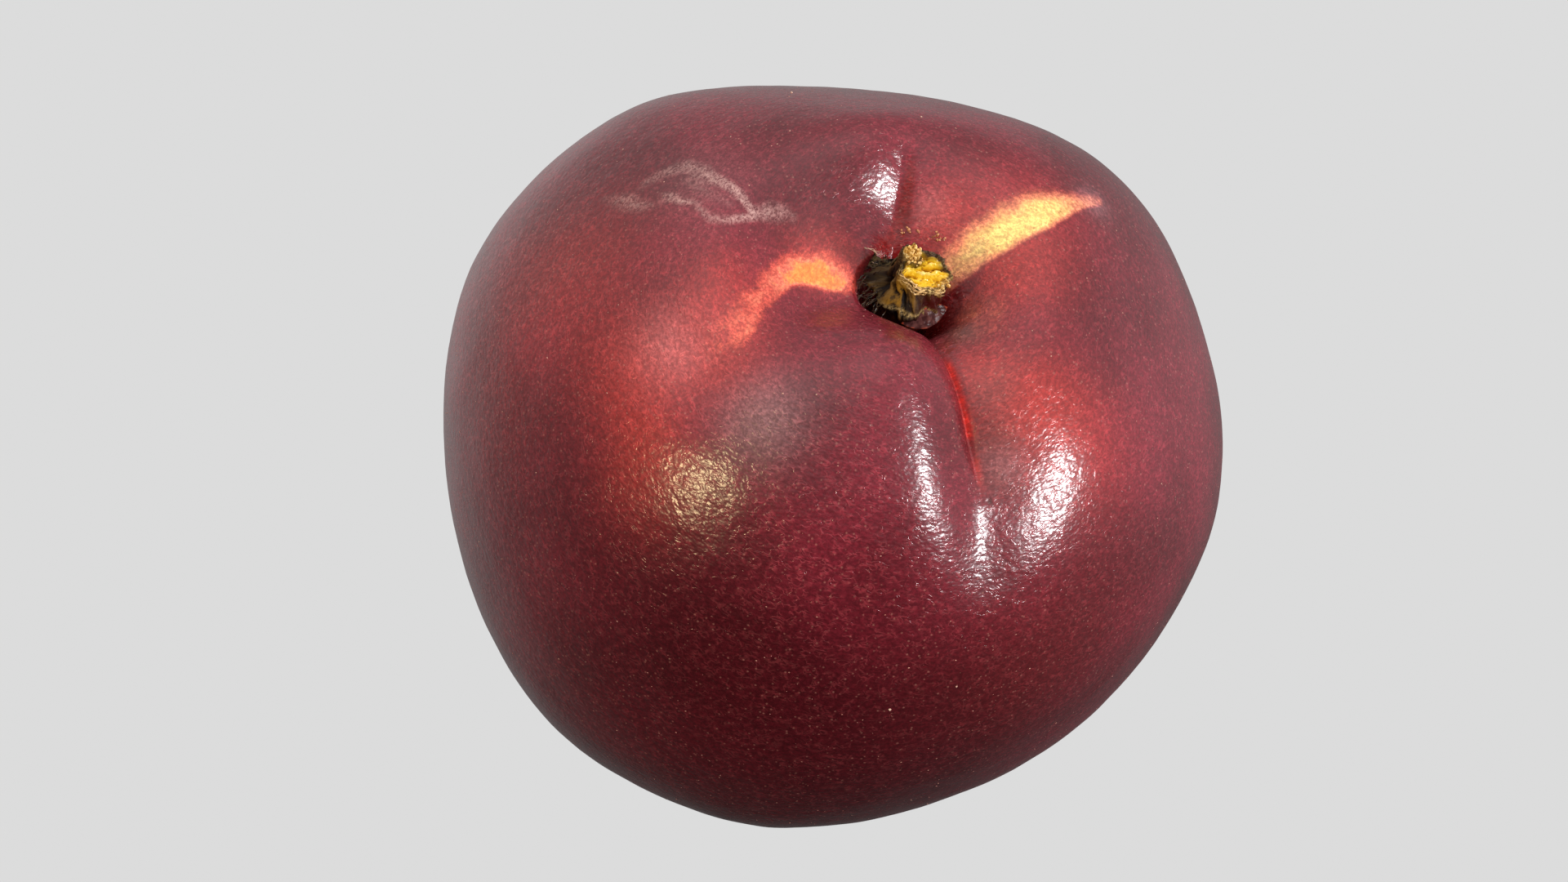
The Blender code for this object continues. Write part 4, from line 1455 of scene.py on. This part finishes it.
def from_view(right, up, towards):
    """A unit vector from its parts along the camera's right, up and backward axes."""
    tilt = np.radians(CAMERA_ELEVATION)
    across = Vector((1.0, 0.0, 0.0)) * right
    upward = Vector((0.0, np.sin(tilt), np.cos(tilt))) * up
    back = Vector((0.0, -np.cos(tilt), np.sin(tilt))) * towards
    return (across + upward + back).normalized()


class StageSettings(bpy.types.PropertyGroup):
    """Light and backdrop of the studio"""

    shade: FloatProperty(
        name="Backdrop", description="Brightness of the floor",
        default=0.715, min=0.0, max=1.0)
    ambient: FloatProperty(name="Ambient", description="Light from every side", default=0.004, min=0.0)
    key_power: FloatProperty(
        name="Key light", description="Power of the strip light",
        default=2.9, unit="POWER")
    warm_power: FloatProperty(
        name="Warm light", description="Power of the warm light",
        default=1.08, unit="POWER")
    key_width: FloatProperty(
        name="Key width", description="Width of the strip light",
        default=0.060, subtype="DISTANCE", unit="LENGTH")
    key_height: FloatProperty(
        name="Key height", description="Height of the strip light",
        default=0.080, subtype="DISTANCE", unit="LENGTH")


def faces_fruit(name, data, way, distance):
    """Puts a light or a camera at a distance from the fruit, facing it."""
    made = in_scene(name, data)
    made.location = FRUIT_CENTRE + way * distance
    made.rotation_euler = way.to_track_quat("Z", "Y").to_euler()
    return made


def area_light(name, way, width, height, power, colour):
    """A rectangular light that faces the fruit."""
    data = bpy.data.lights.new(name, "AREA")
    data.shape = "RECTANGLE"
    data.size = width
    data.size_y = height
    data.energy = power
    data.color = colour
    faces_fruit(name, data, from_view(*way), LIGHT_DISTANCE)


def studio_surround(ambient):
    """The world: an even dim light with soft glows."""
    world = bpy.data.worlds.new("studio")
    world.use_nodes = True
    graph = Graph(world.node_tree)
    way = graph.node("ShaderNodeTexCoord", output="Generated")
    light = ambient
    for *centre, strength in GLOWS:
        nearness = graph.vector("DOT_PRODUCT", way, tuple(from_view(*centre)), output="Value")
        light = ((nearness - 1.0) * GLOW_SHARPNESS).exp() * strength + light
    background = world.node_tree.nodes["Background"]
    background.inputs["Color"].default_value = opaque((1.0, 1.0, 1.0))
    graph.tree.links.new(light.socket, background.inputs["Strength"])
    bpy.context.scene.world = world


class NECTARINE_OT_stage(bpy.types.Operator):
    """Makes the camera, the lights, the surround and the pale floor"""

    bl_idname = "nectarine.stage"
    bl_label = "Stage"

    def execute(self, context):
        settings = context.scene.nectarine_stage
        context.scene.view_settings.view_transform = "Standard"
        self.make_camera(context.scene)
        area_light("key", KEY_WAY, settings.key_width, settings.key_height, settings.key_power, KEY_COLOUR)
        area_light("warm", WARM_WAY, WARM_SIZE, WARM_SIZE, settings.warm_power, WARM_COLOUR)
        studio_surround(settings.ambient)
        self.make_floor(settings.shade)
        return {"FINISHED"}

    def make_camera(self, scene):
        data = bpy.data.cameras.new("camera")
        data.lens = CAMERA_LENS
        data.sensor_width = CAMERA_SENSOR
        data.shift_x, data.shift_y = CAMERA_SHIFT
        data.clip_start = CAMERA_CLIP_START
        scene.camera = faces_fruit("camera", data, from_view(0.0, 0.0, 1.0), CAMERA_DISTANCE)

    def make_floor(self, shade):
        corners = np.array(((-1.0, -1.0, 0.0), (1.0, -1.0, 0.0), (1.0, 1.0, 0.0), (-1.0, 1.0, 0.0)))
        points = corners * FLOOR_HALF_WIDTH - (0.0, 0.0, FLOOR_DROP)
        floor = make_piece("floor", points, [(0, 1, 2, 3)])
        uniform = {
            "Base Color": opaque((0.0, 0.0, 0.0)),
            "Roughness": 0.9,
            "Specular IOR Level": 0.0,
            "Emission Color": (shade, shade, shade, 1.0),
            "Emission Strength": 1.0,
        }
        floor.data.materials.append(new_material("pale_floor", uniform))
        floor.visible_diffuse = False
        floor.visible_glossy = False
        floor.visible_transmission = False
        floor.visible_shadow = False


class NECTARINE_PT_panel(bpy.types.Panel):
    """Lists the pieces and their settings"""

    bl_idname = "NECTARINE_PT_panel"
    bl_label = "Nectarine"
    bl_space_type = "VIEW_3D"
    bl_region_type = "UI"
    bl_category = "Nectarine"

    def draw(self, context):
        for group in SETTINGS:
            held = getattr(context.scene, group)
            for name in held.__annotations__:
                self.layout.prop(held, name)
        for step in STEPS:
            self.layout.operator("nectarine." + step)


SETTINGS = {"nectarine_skin": SkinSettings, "nectarine_stem": StemSettings, "nectarine_stage": StageSettings}
STEPS = ("stage", "skin", "specks", "stub", "rim", "fibres", "films", "crumbs")
CLASSES = (
    *SETTINGS.values(),
    NECTARINE_OT_stage,
    NECTARINE_OT_skin,
    NECTARINE_OT_specks,
    NECTARINE_OT_stub,
    NECTARINE_OT_rim,
    NECTARINE_OT_fibres,
    NECTARINE_OT_films,
    NECTARINE_OT_crumbs,
    NECTARINE_PT_panel,
)


def register():
    """Registers the classes and the settings."""
    for each in CLASSES:
        bpy.utils.register_class(each)
    for name, group in SETTINGS.items():
        setattr(bpy.types.Scene, name, PointerProperty(type=group))


def unregister():
    """Takes the settings and the classes away again."""
    for name in SETTINGS:
        delattr(bpy.types.Scene, name)
    for each in reversed(CLASSES):
        bpy.utils.unregister_class(each)


def main():
    register()
    for step in STEPS:
        getattr(bpy.ops.nectarine, step)()


if __name__ == "__main__":
    main()
